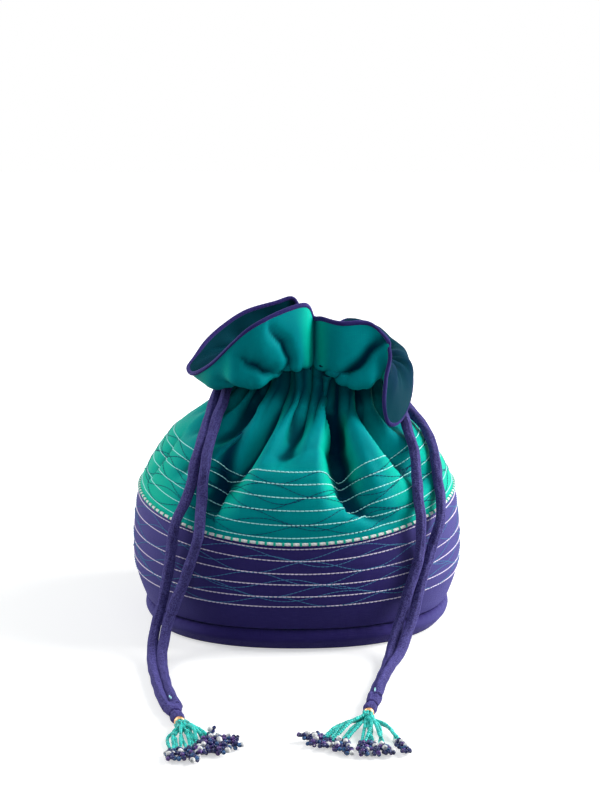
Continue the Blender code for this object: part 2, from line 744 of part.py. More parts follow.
def make_strand(side_name, number, frame, start, reach, direction):
    """One string of small beads from the gold bead to the floor, and the larger beads at its end."""
    middle_number = (len(TASSELS[side_name][1]) - 1) / 2
    right = (number - middle_number) * STRAND_PITCH / 2
    up = STRAND_PITCH / 2 if number % 2 else -STRAND_PITCH / 2
    ahead = frame.to_3x3() @ Vector((0, 0, 1))
    way = Vector((sin(radians(direction)), -cos(radians(direction)), 0))
    first = frame @ Vector((right, up, start))
    last = frame @ Vector((0, 0, start)) + way * reach
    last.z = TIP_BEAD_DIAMETER / 2 + CLEARANCE
    bend = first + ahead * reach * 0.12 + way * reach * 0.1
    line = through([first, bend, (bend + last) / 2, last], reach / 4)
    tube(f"bead_string_{side_name}_{number + 1}", line, STRAND_DIAMETER, turquoise_glass(), resolution=1)
    make_tip(f"end_beads_{side_name}_{number + 1}", last + way * CLEARANCE * 1.5, way)


def make_tip(name, start, way):
    """A short row of larger beads on the floor, in one piece."""
    radius, pitch = TIP_BEAD_DIAMETER / 2, TIP_LENGTH / TIP_BEADS
    between = radius * 0.45
    profile = [(0, between, between)]
    for bead in range(TIP_BEADS):
        profile += [(pitch * (bead + 0.5), radius, radius), (pitch * (bead + 1), between, between)]
    finish(skin(lathe(profile, 6, axis_frame(start, way)), True, True), name, navy_glass())


def clear_scene():
    for old in list(bpy.data.objects):
        bpy.data.objects.remove(old)


def main():
    clear_scene()
    make_base_panel()
    make_base_board()
    make_lower_band()
    make_upper_wall()
    make_lining()
    make_seam_cord()
    make_edge_binding()
    make_drawstring("drawstring_left", -1, LEFT_CORD_RISE, LEFT_FRONT_STRAND, LEFT_BACK_STRAND)
    make_drawstring("drawstring_right", 1, RIGHT_CORD_RISE, RIGHT_FRONT_STRAND, RIGHT_BACK_STRAND)
    make_tassel("left", LEFT_FRONT_STRAND, LEFT_BACK_STRAND)
    make_tassel("right", RIGHT_FRONT_STRAND, RIGHT_BACK_STRAND)


main()
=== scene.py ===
"""Looks of a potli bag: quilted and gathered silk, a couched cord, two drawstrings and their bead tassels.

Sizes are metres, in the frame of the packed model. Angles go round the bag in degrees, from the front, 0, to
the right side, 90, and the left side, -90. A level runs up the cloth: 0 is the base seam, 3 the seam between
the band and the upper cloth, 7 to 9 the channel that the drawstrings run in, and 10 the ruffle's edge.
"""

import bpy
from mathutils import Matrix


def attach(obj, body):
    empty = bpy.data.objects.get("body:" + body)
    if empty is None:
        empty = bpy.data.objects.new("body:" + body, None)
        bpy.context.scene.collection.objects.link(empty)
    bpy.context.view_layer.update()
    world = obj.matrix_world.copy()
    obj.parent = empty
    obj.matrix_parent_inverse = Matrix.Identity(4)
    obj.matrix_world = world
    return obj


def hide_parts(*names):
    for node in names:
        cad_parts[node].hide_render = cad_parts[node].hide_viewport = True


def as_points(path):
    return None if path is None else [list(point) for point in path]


bl_info = {
    "name": "Potli Bag",
    "version": (1, 0, 0),
    "blender": (4, 5, 0),
    "location": "3D View > Sidebar > Potli",
    "description": "Dresses the packed model of a drawstring bag in silk, thread, cord and beads",
    "category": "Add Mesh",
}

from functools import lru_cache
from math import ceil, cos, pi, radians, sin
from random import Random
from typing import NamedTuple

import bmesh
import bpy
import numpy as np
from bpy.props import FloatProperty, FloatVectorProperty, PointerProperty
from mathutils import Matrix, Vector

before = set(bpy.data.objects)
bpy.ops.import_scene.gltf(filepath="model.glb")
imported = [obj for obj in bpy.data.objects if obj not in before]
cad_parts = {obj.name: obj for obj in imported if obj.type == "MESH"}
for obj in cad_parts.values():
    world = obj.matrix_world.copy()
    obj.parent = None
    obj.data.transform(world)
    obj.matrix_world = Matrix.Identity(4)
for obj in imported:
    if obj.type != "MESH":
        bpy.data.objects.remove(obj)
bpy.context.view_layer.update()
MM = 0.001


class Station(NamedTuple):
    """One level of the wall, in millimetres: its heights in front and at the side, half depth and width."""

    front: float
    side: float
    depth: float
    width: float


STATIONS = [
    Station(13, 13, 90.5, 93),
    Station(29, 33, 96, 99.5),
    Station(47, 57, 97, 100),
    Station(66, 82, 97, 96),
    Station(86, 100, 95, 87),
    Station(106, 115.5, 88, 75),
    Station(124, 127, 71, 61),
    Station(138, 138, 46, 49),
    Station(149, 149, 38, 44),
    Station(160, 160, 40, 46),
]
BAND_SEAM, QUILT_TOP, CHANNEL_BOTTOM, CHANNEL_MIDDLE, CHANNEL_TOP, EDGE = 3, 5, 7, 8, 9, 10
NECK_SHIFT = 10 * MM
NECK_TILT = 5 * MM
SQUARENESS = 2.3
PLEAT_DEPTH = 6 * MM


class Fold(NamedTuple):
    """A valley of the gathered cloth: where it ends below its pleat, its depth in millimetres, half width."""

    foot_angle: float
    foot_level: float
    depth: float
    half_angle: float


# One fold for each pleat of the neck, from the front pleat round through the right side.
FOLDS = [
    Fold(-8, 5.0, 10, 10),
    Fold(22, 3.6, 20, 14),
    Fold(56, 3.6, 14, 13),
    Fold(66, 5.2, 6, 10),
    Fold(82, 5.6, 5, 9),
    Fold(98, 5.4, 5, 9),
    Fold(116, 4.2, 12, 13),
    Fold(140, 5.2, 8, 10),
    Fold(156, 3.7, 18, 14),
    Fold(182, 5.1, 9, 10),
    Fold(-154, 4.0, 15, 13),
    Fold(-140, 5.3, 7, 10),
    Fold(-116, 3.8, 16, 14),
    Fold(-98, 5.5, 5, 9),
    Fold(-84, 5.6, 5, 9),
    Fold(-66, 5.0, 7, 10),
    Fold(-52, 5.0, 8, 10),
    Fold(-36, 3.3, 17, 14),
]
PLEAT_PITCH = 360 / len(FOLDS)


class EdgePoint(NamedTuple):
    """A point of the ruffle's bound edge, in millimetres from the middle of the channel's top.

    The cloth between it and the neck swells outwards and sags below a straight line.
    """

    neck_angle: float
    right: float
    back: float
    up: float
    swell: float
    sag: float


RUFFLE_EDGE = [
    EdgePoint(-170, -13, 38, 32, 5, 0),
    EdgePoint(-156, -24, 34, 29.5, 6, 2),
    EdgePoint(-140, -42, 26, 25, 7, 6),
    EdgePoint(-124, -56, 17, 17, 7, 7),
    EdgePoint(-110, -66, 7, 9, 5, 6),
    EdgePoint(-98, -73, -6, 0.5, 3, 4),
    EdgePoint(-89, -76.5, -19, -4, 2, 5),
    EdgePoint(-80, -72.5, -31, -5.5, 3, 13),
    EdgePoint(-66, -61, -45, 2.5, 6, 18),
    EdgePoint(-52, -48, -55, 16, 8, 21),
    EdgePoint(-40, -39, -58, 24.5, 9, 22),
    EdgePoint(-28, -28, -57, 31, 9, 22),
    EdgePoint(-16, -14, -51, 36.5, 8, 19),
    EdgePoint(-6, -4, -44, 37.5, 5, 14),
    EdgePoint(0, 0, -34, 29, 2, 10),
    EdgePoint(6, 5, -39, 29, 4, 14),
    EdgePoint(18, 16, -45, 27, 8, 20),
    EdgePoint(30, 32, -44, 27, 10, 19),
    EdgePoint(38, 41, -46, 20, 8, 15),
    EdgePoint(46, 45, -49, 9, 5, 7),
    EdgePoint(56, 42.5, -52, -7, 3, -2),
    EdgePoint(64, 41.5, -55, -22, 3, -9),
    EdgePoint(72, 44, -56, -32, 4, -10),
    EdgePoint(79, 50, -50, -33, 5, -9),
    EdgePoint(87, 56, -36, -27, 5, -8),
    EdgePoint(96, 60, -18, -16, 5, -8),
    EdgePoint(106, 60, 2, -10, 3, -8),
    EdgePoint(118, 53, 25, -2, 3, -8),
    EdgePoint(130, 40, 40, 10, 3, -7),
    EdgePoint(142, 24, 43, 17, 3, -6),
    EdgePoint(154, 12, 36, 15, 3, -4),
    EdgePoint(168, 0, 39.5, 19.5, 3, -3),
    EdgePoint(180, -8, 37, 25.5, 4, -2),
]


class Crease(NamedTuple):
    """A crease pressed into the cloth, or a ridge raised from it where its depth is below 0.

    Its path is a list of (angle, level) that falls, or runs to the right. It fades over one width on the left
    of a falling path, or below one that runs to the right, and over the other width on its other side.
    Widths and depth are millimetres.
    """

    before: float
    after: float
    depth: float
    path: list


CREASES = [
    # The front panel overlaps the cloth on both its sides.
    Crease(15, 2.5, 6, [(-41, 7.2), (-33, 6.3), (-33, 5.7), (-34, 4.85), (-32, 4.1), (-30, 3.6)]),
    Crease(4, 3, 3, [(-9, 7.4), (-7, 6.75), (-8, 6.1)]),
    Crease(2, 11, 6, [(8, 7.5), (12, 6.9), (21, 6.4), (24, 5.4), (20, 4.2)]),
    Crease(4, 8, 4.5, [(18, 4.4), (21, 3.95), (27, 3.5), (35, 3.1)]),
    Crease(7, 7, -3.5, [(28, 6.6), (38, 5.5), (45, 4.6)]),
    Crease(4, 4, 1.2, [(-17, 5.44), (1, 5.56), (20, 5.8)]),
    # Left cheek
    Crease(8, 3, 3.5, [(-72, 5.2), (-68, 4.4), (-70, 3.6)]),
    Crease(6, 5, 3.5, [(-50, 4.8), (-52, 4.2)]),
    # Left lobe of the ruffle
    Crease(2.5, 8, 7, [(-40, 9.74), (-33, 9.64), (-27, 9.5), (-24, 9.38)]),
    Crease(2.5, 4, 5, [(-25, 9.9), (-19, 9.78), (-15, 9.6), (-17, 9.42), (-20, 9.3)]),
    Crease(6, 5, -4, [(-46, 9.62), (-38, 9.48), (-30, 9.4)]),
    Crease(4, 4, 3, [(-60, 9.7), (-52, 9.5), (-44, 9.3)]),
    # Right lobe
    Crease(2.5, 6, 7, [(11, 9.3), (16, 9.45), (24, 9.64), (31, 9.8), (37, 9.9)]),
    Crease(5, 5, -3.5, [(20, 9.3), (30, 9.48), (38, 9.62)]),
    Crease(3, 4, 4, [(33, 9.5), (37, 9.35), (39, 9.2)]),
]
GATHERS = 47
GATHER_DEPTH = 1.4 * MM
# Each is (level where it starts, its rise, level where it ends, its fall): the small gathers, the neck's
# painted shade, the painted shadow under the ruffle, which is its darkest part, and the ruffle's foot, where
# the lining stands further in.
GATHERED, NECK_SHADE = (5.9, 1.3, 9.75, 0.7), (5.8, 1.5, 9.45, 0.3)
SHADOW_UNDER_RUFFLE, RUFFLE_FOOT = (6.9, 0.8, 9.3, 0.2), (8.4, 0.5, 9.95, 0.4)
LINING_GAP, LINING_GAP_AT_FOOT = 0.35, 2.2

# The levels of the straight rows of quilting stitches, on the teal cloth and on the band.
TEAL_ROWS = [3.18, 3.535, 3.935, 4.3, 4.67, 5.0]
BAND_ROWS = [1.0, 1.33, 1.72, 2.08, 2.5, 2.87]


class Wave(NamedTuple):
    """A wavy row of stitches: its middle level, its height in levels, its waves round the bag, its phase."""

    level: float
    height: float
    waves: int
    phase: float


TEAL_WAVES = [
    Wave(3.36, 0.17, 9, 0.2),
    Wave(3.74, 0.19, 9, 0.7),
    Wave(4.12, 0.19, 9, 0.1),
    Wave(4.49, 0.18, 9, 0.55),
    Wave(4.83, 0.15, 9, 0.95),
    Wave(3.55, 0.16, 9, 0.55),
    Wave(4.3, 0.17, 9, 0.9),
]
BAND_WAVES = [
    Wave(1.17, 0.17, 9, 0.45),
    Wave(1.5, 0.19, 9, 0.0),
    Wave(1.9, 0.2, 9, 0.6),
    Wave(2.27, 0.2, 9, 0.15),
    Wave(2.68, 0.17, 9, 0.75),
    Wave(1.34, 0.15, 9, 0.85),
    Wave(1.73, 0.18, 9, 0.3),
    Wave(2.47, 0.17, 9, 0.5),
]

# Where the four free strands lie, in millimetres, from their exits to the wraps.
LEFT_FRONT_STRAND = [
    (-41.2, -14, 146), (-44, -29.3, 137.2), (-47.4, -44.2, 129.8), (-49.6, -55.2, 122.7), (-51.5, -68, 115.9),
    (-53.3, -76.2, 105), (-54.5, -77.5, 95.5), (-55, -81.5, 86), (-55.5, -90.2, 77), (-56.5, -93.6, 68),
    (-59, -91, 60), (-62, -90.5, 50.5), (-66, -90.5, 39.5), (-70.5, -92, 29), (-74, -95.5, 19.5),
    (-76, -104, 10.5), (-76.2, -118, 4.8), (-73.8, -137, 3.4), (-69.8, -160, 3.2), (-66.6, -175, 3.2),
    (-63.1, -188, 3.2),
]
LEFT_BACK_STRAND = [
    (-43, 2.6, 148.3), (-46.2, -7.4, 142.9), (-49.6, -19.4, 138), (-51.8, -34, 130.4), (-54.6, -52.6, 123),
    (-56.8, -64.8, 115.5), (-59.4, -71, 106.4), (-61, -75.2, 97), (-63.8, -77.4, 88), (-68.9, -82.6, 78),
    (-71.6, -84, 68), (-72.8, -82, 58), (-74, -82.5, 50), (-76.5, -84.5, 36), (-79.3, -88.5, 24.5),
    (-82, -96, 14), (-82.3, -107, 6.2), (-81.4, -120, 4), (-79.3, -136, 3.4), (-75.1, -160, 3.2),
    (-71.9, -176, 3.2), (-68.4, -190, 3.2),
]
RIGHT_FRONT_STRAND = [
    (59, -12.5, 141.5), (62.8, -23, 132.3), (65.5, -34, 125.5), (67, -43, 119.3), (69.5, -50.5, 112.5),
    (70.3, -57.5, 104), (70.6, -65.5, 96), (71, -72.5, 87.5), (72, -80.3, 78.5), (72.2, -82.2, 68.5),
    (71.5, -82, 58.5), (70.8, -83.5, 53), (68.8, -85, 47), (64.9, -87.5, 35), (61.3, -90.5, 23.5),
    (57.2, -97, 12.7), (54, -108, 6), (51.7, -121, 4), (48.4, -137, 3.3), (43.9, -158, 3.2),
    (40.1, -179, 3.1),
]
RIGHT_BACK_STRAND = [
    (59.6, 5.6, 141.2), (64, 2.2, 133.4), (71.6, -5, 125), (78, -15, 118.2), (82, -29.5, 110.5),
    (83.3, -41.5, 102.5), (84, -49.5, 94), (85, -60.3, 84.5), (84.6, -68.8, 76), (82.3, -73.5, 67.5),
    (79.3, -75.5, 59.3), (77, -78.5, 51.7), (74.5, -81, 46), (71, -85.6, 33), (67.2, -92.4, 20.5),
    (62.6, -101.6, 11.8), (59.4, -112.4, 7.2), (55.9, -123.3, 6.5), (51.8, -138.2, 6.5), (46.9, -159, 6.4),
    (43.3, -180, 6),
]


def measure(name, description, default, lowest, highest):
    """A length property, in metres."""
    return FloatProperty(
        name=name, description=description, default=default, min=lowest, max=highest, unit="LENGTH")


class ClothSizes(bpy.types.PropertyGroup):
    """Thicknesses and relief of the cloth."""

    cloth: measure("Outer cloth", "Thickness of the outer cloth with its wadding", 0.0008, 0.0002, 0.003)
    lining: measure("Lining", "Thickness of the lining", 0.0005, 0.0002, 0.002)
    pillow: measure("Quilting relief", "How far the cloth stands up between two rows", 0.0007, 0.0, 0.002)
    binding_depth: measure("Binding depth", "How far it reaches down the ruffle", 0.0024, 0.001, 0.006)
    binding_thickness: measure("Binding thickness", "The bound edge, across the ruffle", 0.0024, 0.001, 0.006)


class StitchSizes(bpy.types.PropertyGroup):
    """Threads of the quilting and the couched cord."""

    thread: measure("Quilting thread", "Thickness of the pale quilting thread", 0.00064, 0.0001, 0.002)
    fine_thread: measure("Wave thread", "Thickness of the wavy rows' thread", 0.00044, 0.0001, 0.002)
    pitch: measure("Stitch pitch", "Length of one stitch and its gap", 0.0026, 0.001, 0.01)
    share: FloatProperty(
        name="Stitch share", description="The part of the pitch that the thread shows", default=0.94,
        min=0.2, max=1.0, subtype="FACTOR")
    seam_cord: measure("Seam cord", "Thickness of the cord on the band's seam", 0.0017, 0.0005, 0.006)
    couching_pitch: measure("Couching pitch", "From one of its stitches to the next", 0.005, 0.002, 0.02)


class CordSizes(bpy.types.PropertyGroup):
    """The two drawstrings. Each length is a free strand from its exit to its wrap."""

    diameter: measure("Drawstring", "Thickness of the sewn cloth drawstring", 0.0065, 0.002, 0.02)
    left_front: measure("Left front strand", "Its real length", 0.297, 0.05, 1)
    left_back: measure("Left back strand", "Its real length", 0.308, 0.05, 1)
    right_front: measure("Right front strand", "Its real length", 0.277, 0.05, 1)
    right_back: measure("Right back strand", "Its real length", 0.289, 0.05, 1)


class TasselSizes(bpy.types.PropertyGroup):
    """The beads and the sewn ends of the drawstrings."""

    seed_bead: measure("Seed bead", "Diameter of the turquoise seed beads", 0.0019, 0.001, 0.005)
    end_bead: measure("End bead", "Diameter of the larger beads at the ends", 0.0025, 0.001, 0.008)
    gold_bead: measure("Gold bead", "Diameter of the ring bead above the strings", 0.0058, 0.002, 0.012)
    wrap_length: measure("Wrap length", "From the strands to the gold bead", 0.022, 0.008, 0.05)


def colour(name, description, default):
    """A colour property, in linear values."""
    return FloatVectorProperty(
        name=name, description=description, subtype="COLOR", size=3, min=0, max=1, default=default)


class BagColours(bpy.types.PropertyGroup):
    """Colours of the cloths, threads and beads."""

    teal: colour("Teal", "The upper cloth where it faces the front", (0.0, 0.27, 0.31))
    # Painted highlight: the shot silk's green warp, painted where the cloth turns to the side lights and faces
    # up.
    green: colour("Shot green", "The upper cloth where its warp catches the light", (0.0, 0.52, 0.36))
    # Painted shade: the colour that the teal cloth and the lining are painted in their folds and creases.
    shade: colour("Shot blue", "The upper cloth inside its folds", (0.0, 0.010, 0.045))
    lining: colour("Lining", "The lining", (0.0, 0.028, 0.043))
    indigo: colour("Indigo", "The band, base, binding and drawstrings", (0.028, 0.020, 0.125))
    # Painted highlight of the indigo cloth where it turns to the side lights and faces up; the cords also use
    # it for their random flecks and their sheen tint.
    violet: colour("Violet", "The indigo cloth where its nap catches the light", (0.080, 0.072, 0.25))
    # Painted shade of the indigo cloth in its folds and creases; the cords also use it for the dark side of
    # their random mottle.
    night: colour("Night blue", "The indigo cloth inside its folds", (0.010, 0.006, 0.045))
    pale_thread: colour("Pale thread", "The straight rows on the teal cloth", (0.50, 1.0, 1.0))
    pink_thread: colour("Pink thread", "The straight rows on the band", (0.93, 0.84, 1.0))
    navy_thread: colour("Navy thread", "The wavy rows on the teal cloth", (0.0, 0.045, 0.12))
    sea_thread: colour("Sea thread", "The wavy rows on the band", (0.07, 0.23, 0.42))
    white_yarn: colour("White yarn", "The seam cord", (0.95, 0.95, 0.94))
    mint_thread: colour("Mint thread", "The stitches over the seam cord", (0.02, 0.50, 0.38))
    gold: colour("Gold", "The ring beads", (0.85, 0.45, 0.22))
    turquoise: colour("Turquoise", "The seed beads", (0.03, 0.62, 0.56))
    navy_bead: colour("Navy bead", "Most of the end beads", (0.007, 0.014, 0.12))
    violet_bead: colour("Violet bead", "Some of the end beads", (0.08, 0.03, 0.21))
    blue_bead: colour("Blue bead", "Some of the end beads", (0.014, 0.09, 0.26))
    white_bead: colour("White bead", "Some of the end beads", (0.86, 0.87, 0.88))


class StageSettings(bpy.types.PropertyGroup):
    """The camera, the lights and the floor."""

    distance: measure("Distance", "Camera to the bag's middle, along the floor", 1.05, 0.3, 5)
    height: measure("Height", "Camera above the floor", 0.32, 0.05, 3)
    down: FloatProperty(
        name="Tilt", description="How far the camera looks down", default=radians(10.13), min=0,
        max=radians(80), subtype="ANGLE")
    lens: FloatProperty(
        name="Lens", description="Focal length, in millimetres on a frame 36 mm tall", default=77.4,
        min=10, max=300)
    side_light: FloatProperty(
        name="Side lights", description="Power of each softbox beside the bag", default=9.0, min=0, max=500)
    front_light: FloatProperty(
        name="Front light", description="Power of the softbox above the camera", default=2.9, min=0, max=500)
    sky: FloatProperty(
        name="Sky", description="Strength of the even light from all round", default=0.24, min=0, max=5)


GROUPS = {
    "potli_cloth": ClothSizes,
    "potli_stitches": StitchSizes,
    "potli_cords": CordSizes,
    "potli_tassels": TasselSizes,
    "potli_colours": BagColours,
    "potli_stage": StageSettings,
}


def smooth(share):
    """0 below 0, 1 above 1 and a smooth step between."""
    share = np.clip(share, 0, 1)
    return share * share * (3 - 2 * share)


def between(values, start, rise, end, fall):
    """0 up to the start and past the end, and 1 in the middle, with a smooth rise and a smooth fall."""
    return smooth((values - start) / rise) * smooth((end - values) / fall)


def column_angles(columns):
    """The angles of evenly spaced columns, once round the bag from behind."""
    return -180 + 360 * np.arange(columns) / columns


def sine_cosine(angles):
    return np.sin(np.radians(angles)), np.cos(np.radians(angles))


def run_along(line):
    """How far along a line each of its points lies."""
    return np.concatenate(((0,), np.cumsum(np.linalg.norm(np.diff(line, axis=0), axis=1))))


def read_along(places, run, values):
    """What a line's points hold, read at places along it."""
    return np.stack([np.interp(places, run, values[:, axis]) for axis in range(3)], -1)


def catmull_rom(before, start, end, after, share):
    """Points between start and end on the smooth curve through four neighbours."""
    return (
        start
        + (end - before) * (share / 2)
        + (before * 2 - start * 5 + end * 4 - after) * (share**2 / 2)
        + (start * 3 - before - end * 3 + after) * (share**3 / 2)
    )


def stations_at(levels):
    """The wall's sizes at levels between the stations."""
    sizes = np.array(STATIONS) * MM
    low = np.clip(levels.astype(int), 0, len(sizes) - 2)
    around = [sizes[np.clip(low + step, 0, len(sizes) - 1)] for step in (-1, 0, 1, 2)]
    return np.moveaxis(catmull_rom(*around, (levels - low)[..., None]), -1, 0)


def turned(from_angle, to_angle):
    """The angle between two directions, from -180 to 180 degrees."""
    return (to_angle - from_angle + 180) % 360 - 180


def fold_depths(angles, levels):
    """How deep the folds press the cloth in."""
    total = np.zeros_like(angles)
    for number, fold in enumerate(FOLDS):
        share = np.clip((levels - fold.foot_level) / (CHANNEL_BOTTOM - fold.foot_level), 0, 1)
        centre = fold.foot_angle + turned(fold.foot_angle, number * PLEAT_PITCH) * share
        half = fold.half_angle + (PLEAT_PITCH / 2 - fold.half_angle) * share
        away = np.minimum(np.abs(turned(centre, angles)) / half, 1)
        depth = PLEAT_DEPTH * smooth(share) + (fold.depth * MM - PLEAT_DEPTH / 2) * np.sin(pi * share)
        total += np.where(share > 0, depth, 0) * np.cos(away * pi / 2) ** 2
    return total


def roundness(angles, levels):
    """How much further out the squarish base and belly reach than an ellipse, at their corners."""
    s, c = np.abs(sine_cosine(angles))
    full = (s**SQUARENESS + c**SQUARENESS) ** (-1 / SQUARENESS)
    return full + (1 - full) * smooth((levels - BAND_SEAM) / (CHANNEL_BOTTOM - BAND_SEAM))


def smooth_wall(angles, levels):
    """The wall without its folds."""
    front, side, depth, width = stations_at(levels)
    s, c = sine_cosine(angles)
    out = roundness(angles, levels)
    lean = smooth((levels - QUILT_TOP) / (CHANNEL_MIDDLE - QUILT_TOP))
    height = front * c * c + side * s * s - NECK_TILT * s * lean
    return np.stack((width * out * s + NECK_SHIFT * lean, -depth * out * c, height), -1)


def unit(vectors):
    return vectors / np.maximum(np.linalg.norm(vectors, axis=-1, keepdims=True), 1e-12)


def folded_wall(angles, levels):
    """The inner face of the outer cloth, from the base seam to the top of the channel."""
    step = 0.05
    along = smooth_wall(angles + 1, levels) - smooth_wall(angles - 1, levels)
    up = smooth_wall(angles, levels + step) - smooth_wall(angles, levels - step)
    pressed = fold_depths(angles, levels)[..., None]
    return smooth_wall(angles, levels) - unit(np.cross(along, up)) * pressed


def ruffle_edge(angles):
    """The ruffle's edge above the neck angles, on a smooth closed curve, with its swell and sag."""
    table = np.array(RUFFLE_EDGE)
    starts = table[:, 0]
    points = table[:, 1:] * MM + np.array((NECK_SHIFT, 0, STATIONS[CHANNEL_TOP].front * MM, 0, 0))
    angles = (angles + 180) % 360 - 180
    after = np.searchsorted(starts, angles, side="right") % len(starts)
    around = [points[(after + step) % len(starts)] for step in (-2, -1, 0, 1)]
    low, high = starts[(after - 1) % len(starts)], starts[after]
    share = (angles - low) % 360 / ((high - low) % 360)
    return catmull_rom(*around, share[..., None])


def ruffle(angles, share):
    """The ruffle between the top of the channel, 0, and its edge, 1."""
    foot = folded_wall(angles, np.full_like(angles, CHANNEL_TOP))
    edge = ruffle_edge(angles)
    swell, sag = edge[..., 3], edge[..., 4]
    s, c = sine_cosine(angles)
    out = np.stack((s * swell, -c * swell, -sag), -1)
    share = share[..., None]
    return foot * (1 - share) + edge[..., :3] * share + out * np.sin(pi * share)


CREASE_REACH = 0.8
CREASE_AT_SEAM = 0.5
# The depth of crease that gets the full painted shade.
FULLY_SHADED_CREASE = 6 * MM


class Cloth:
    """A closed sheet round the bag: its points by row and column, and the level of each row.

    It also holds how far each point lies in a crease, which gives it painted shade: 0 is not at all.
    """

    def __init__(self, points, levels, painted_crease_shade=None):
        self.points = points
        self.levels = levels
        self.columns = points.shape[1]
        self.painted_crease_shade = np.zeros(points.shape[:2]) if painted_crease_shade is None else painted_crease_shade

    @property
    def angles(self):
        return column_angles(self.columns)

    def normals(self):
        """Outward normals of the rows and columns."""
        wrapped = np.concatenate((self.points[:, -1:], self.points, self.points[:, :1]), 1)
        along = wrapped[:, 2:] - wrapped[:, :-2]
        up = np.gradient(self.points, axis=0)
        return unit(np.cross(along, up))

    def moved(self, distance):
        """The same sheet, moved outwards along its normals. The distance may change over it."""
        distance = np.broadcast_to(distance, self.points.shape[:2])[..., None]
        return Cloth(self.points + self.normals() * distance, self.levels, self.painted_crease_shade)

    def part(self, low, high):
        """The rows from one level to another, with a row at each."""
        inner = [level for level in self.levels if low < level < high]
        levels = np.array([low, *inner, high])
        angles, heights = np.broadcast_arrays(self.angles, levels[:, None])
        painted_crease_shade = self.sample(self.painted_crease_shade[..., None], angles, heights)[..., 0]
        return Cloth(self.at(angles, heights), levels, painted_crease_shade)

    def sample(self, values, angles, levels):
        """Values of the rows and columns, read at angles and levels."""
        row = np.interp(levels, self.levels, np.arange(len(self.levels)))
        low = np.clip(row.astype(int), 0, len(self.levels) - 2)
        column = (np.asarray(angles) + 180) % 360 / 360 * self.columns
        left = column.astype(int) % self.columns
        right = (left + 1) % self.columns
        up, side = (row - low)[..., None], (column - column.astype(int))[..., None]
        bottom = values[low, left] * (1 - side) + values[low, right] * side
        top = values[low + 1, left] * (1 - side) + values[low + 1, right] * side
        return bottom * (1 - up) + top * up

    def at(self, angles, levels):
        return self.sample(self.points, angles, levels)

    def pressed(self, crease):
        """The sheet with one crease pressed into it."""
        path = np.array(crease.path, float)
        steps = np.linspace(0, len(path) - 1, 10 * len(path))
        angles = np.interp(steps, np.arange(len(path)), path[:, 0])
        levels = np.interp(steps, np.arange(len(path)), path[:, 1])
        line = self.at(angles, levels)
        taper = np.sin(np.linspace(0.08, 0.92, len(line)) * pi) ** 0.6
        nearest = np.full(self.points.shape[:2], np.inf)
        side, strength = np.zeros_like(nearest), np.zeros_like(nearest)
        run, rise = np.gradient(angles), np.gradient(levels)
        for number, place in enumerate(line):
            distance = np.linalg.norm(self.points - place, axis=-1)
            distance[np.abs(self.levels - levels[number]) > CREASE_REACH] = np.inf
            closer = distance < nearest
            across = turned(angles[number], self.angles)[None] * -rise[number]
            across = across + (self.levels - levels[number])[:, None] * run[number]
            nearest = np.where(closer, distance, nearest)
            side = np.where(closer, across, side)
            strength = np.where(closer, taper[number], strength)
        width = np.where(side > 0, crease.after, crease.before) * MM
        pressed = bell(nearest / width) * strength * crease.depth * MM
        free = smooth(np.abs(self.levels - BAND_SEAM) / CREASE_AT_SEAM)[:, None]
        cloth = self.moved(-pressed * free)
        # The crease's painted shade, which grows with its depth.
        cloth.painted_crease_shade = np.maximum(self.painted_crease_shade, np.maximum(pressed / FULLY_SHADED_CREASE, 0) ** 1.5)
        return cloth


class Value:
    """A number that a shader works out. Its operators add Math nodes."""

    def __init__(self, nodes, socket):
        self.nodes = nodes
        self.socket = socket

    def __add__(self, other):
        return self.nodes.math("ADD", self, other)

    def __sub__(self, other):
        return self.nodes.math("SUBTRACT", self, other)

    def __mul__(self, other):
        return self.nodes.math("MULTIPLY", self, other)

    def __rsub__(self, other):
        return self.nodes.math("SUBTRACT", other, self)

    __radd__ = __add__
    __rmul__ = __mul__


class Nodes:
    """The nodes of a material or of the sky, added one by one."""

    def __init__(self, tree):
        self.tree = tree

    def feed(self, node, inputs):
        """Sets or links a node's sockets, named with words or numbers."""
        for name, value in inputs.items():
            if isinstance(name, str):
                name = name.replace("_", " ").title().replace("Ior", "IOR")
            socket = node.inputs[name]
            if isinstance(value, Value):
                self.tree.links.new(value.socket, socket)
            elif isinstance(value, bpy.types.NodeSocket):
                self.tree.links.new(value, socket)
            elif isinstance(socket.default_value, float):
                socket.default_value = value
            else:
                socket.default_value = (*value, 1)[:len(socket.default_value)]

    def node(self, kind, settings=None, inputs=None):
        """A node of a type, with its settings and then its sockets."""
        made = self.tree.nodes.new(kind)
        for name, value in (settings or {}).items():
            setattr(made, name, value)
        self.feed(made, inputs or {})
        return made

    def math(self, operation, first, second):
        made = self.node("ShaderNodeMath", {"operation": operation}, {0: first, 1: second})
        return Value(self, made.outputs[0])

    def finish(self, lighting, seen, output):
        """Ends in one shader for the light that it gives, and another for the camera and shiny surfaces."""
        rays = self.node("ShaderNodeLightPath").outputs
        share = rays["Is Camera Ray"]
        for name in ("Is Glossy Ray", "Is Transmission Ray"):
            share = self.math("MAXIMUM", share, rays[name])
        mix = self.node("ShaderNodeMixShader", inputs={0: share, 1: lighting.outputs[0], 2: seen.outputs[0]})
        self.feed(self.tree.nodes[output], {"surface": mix.outputs[0]})


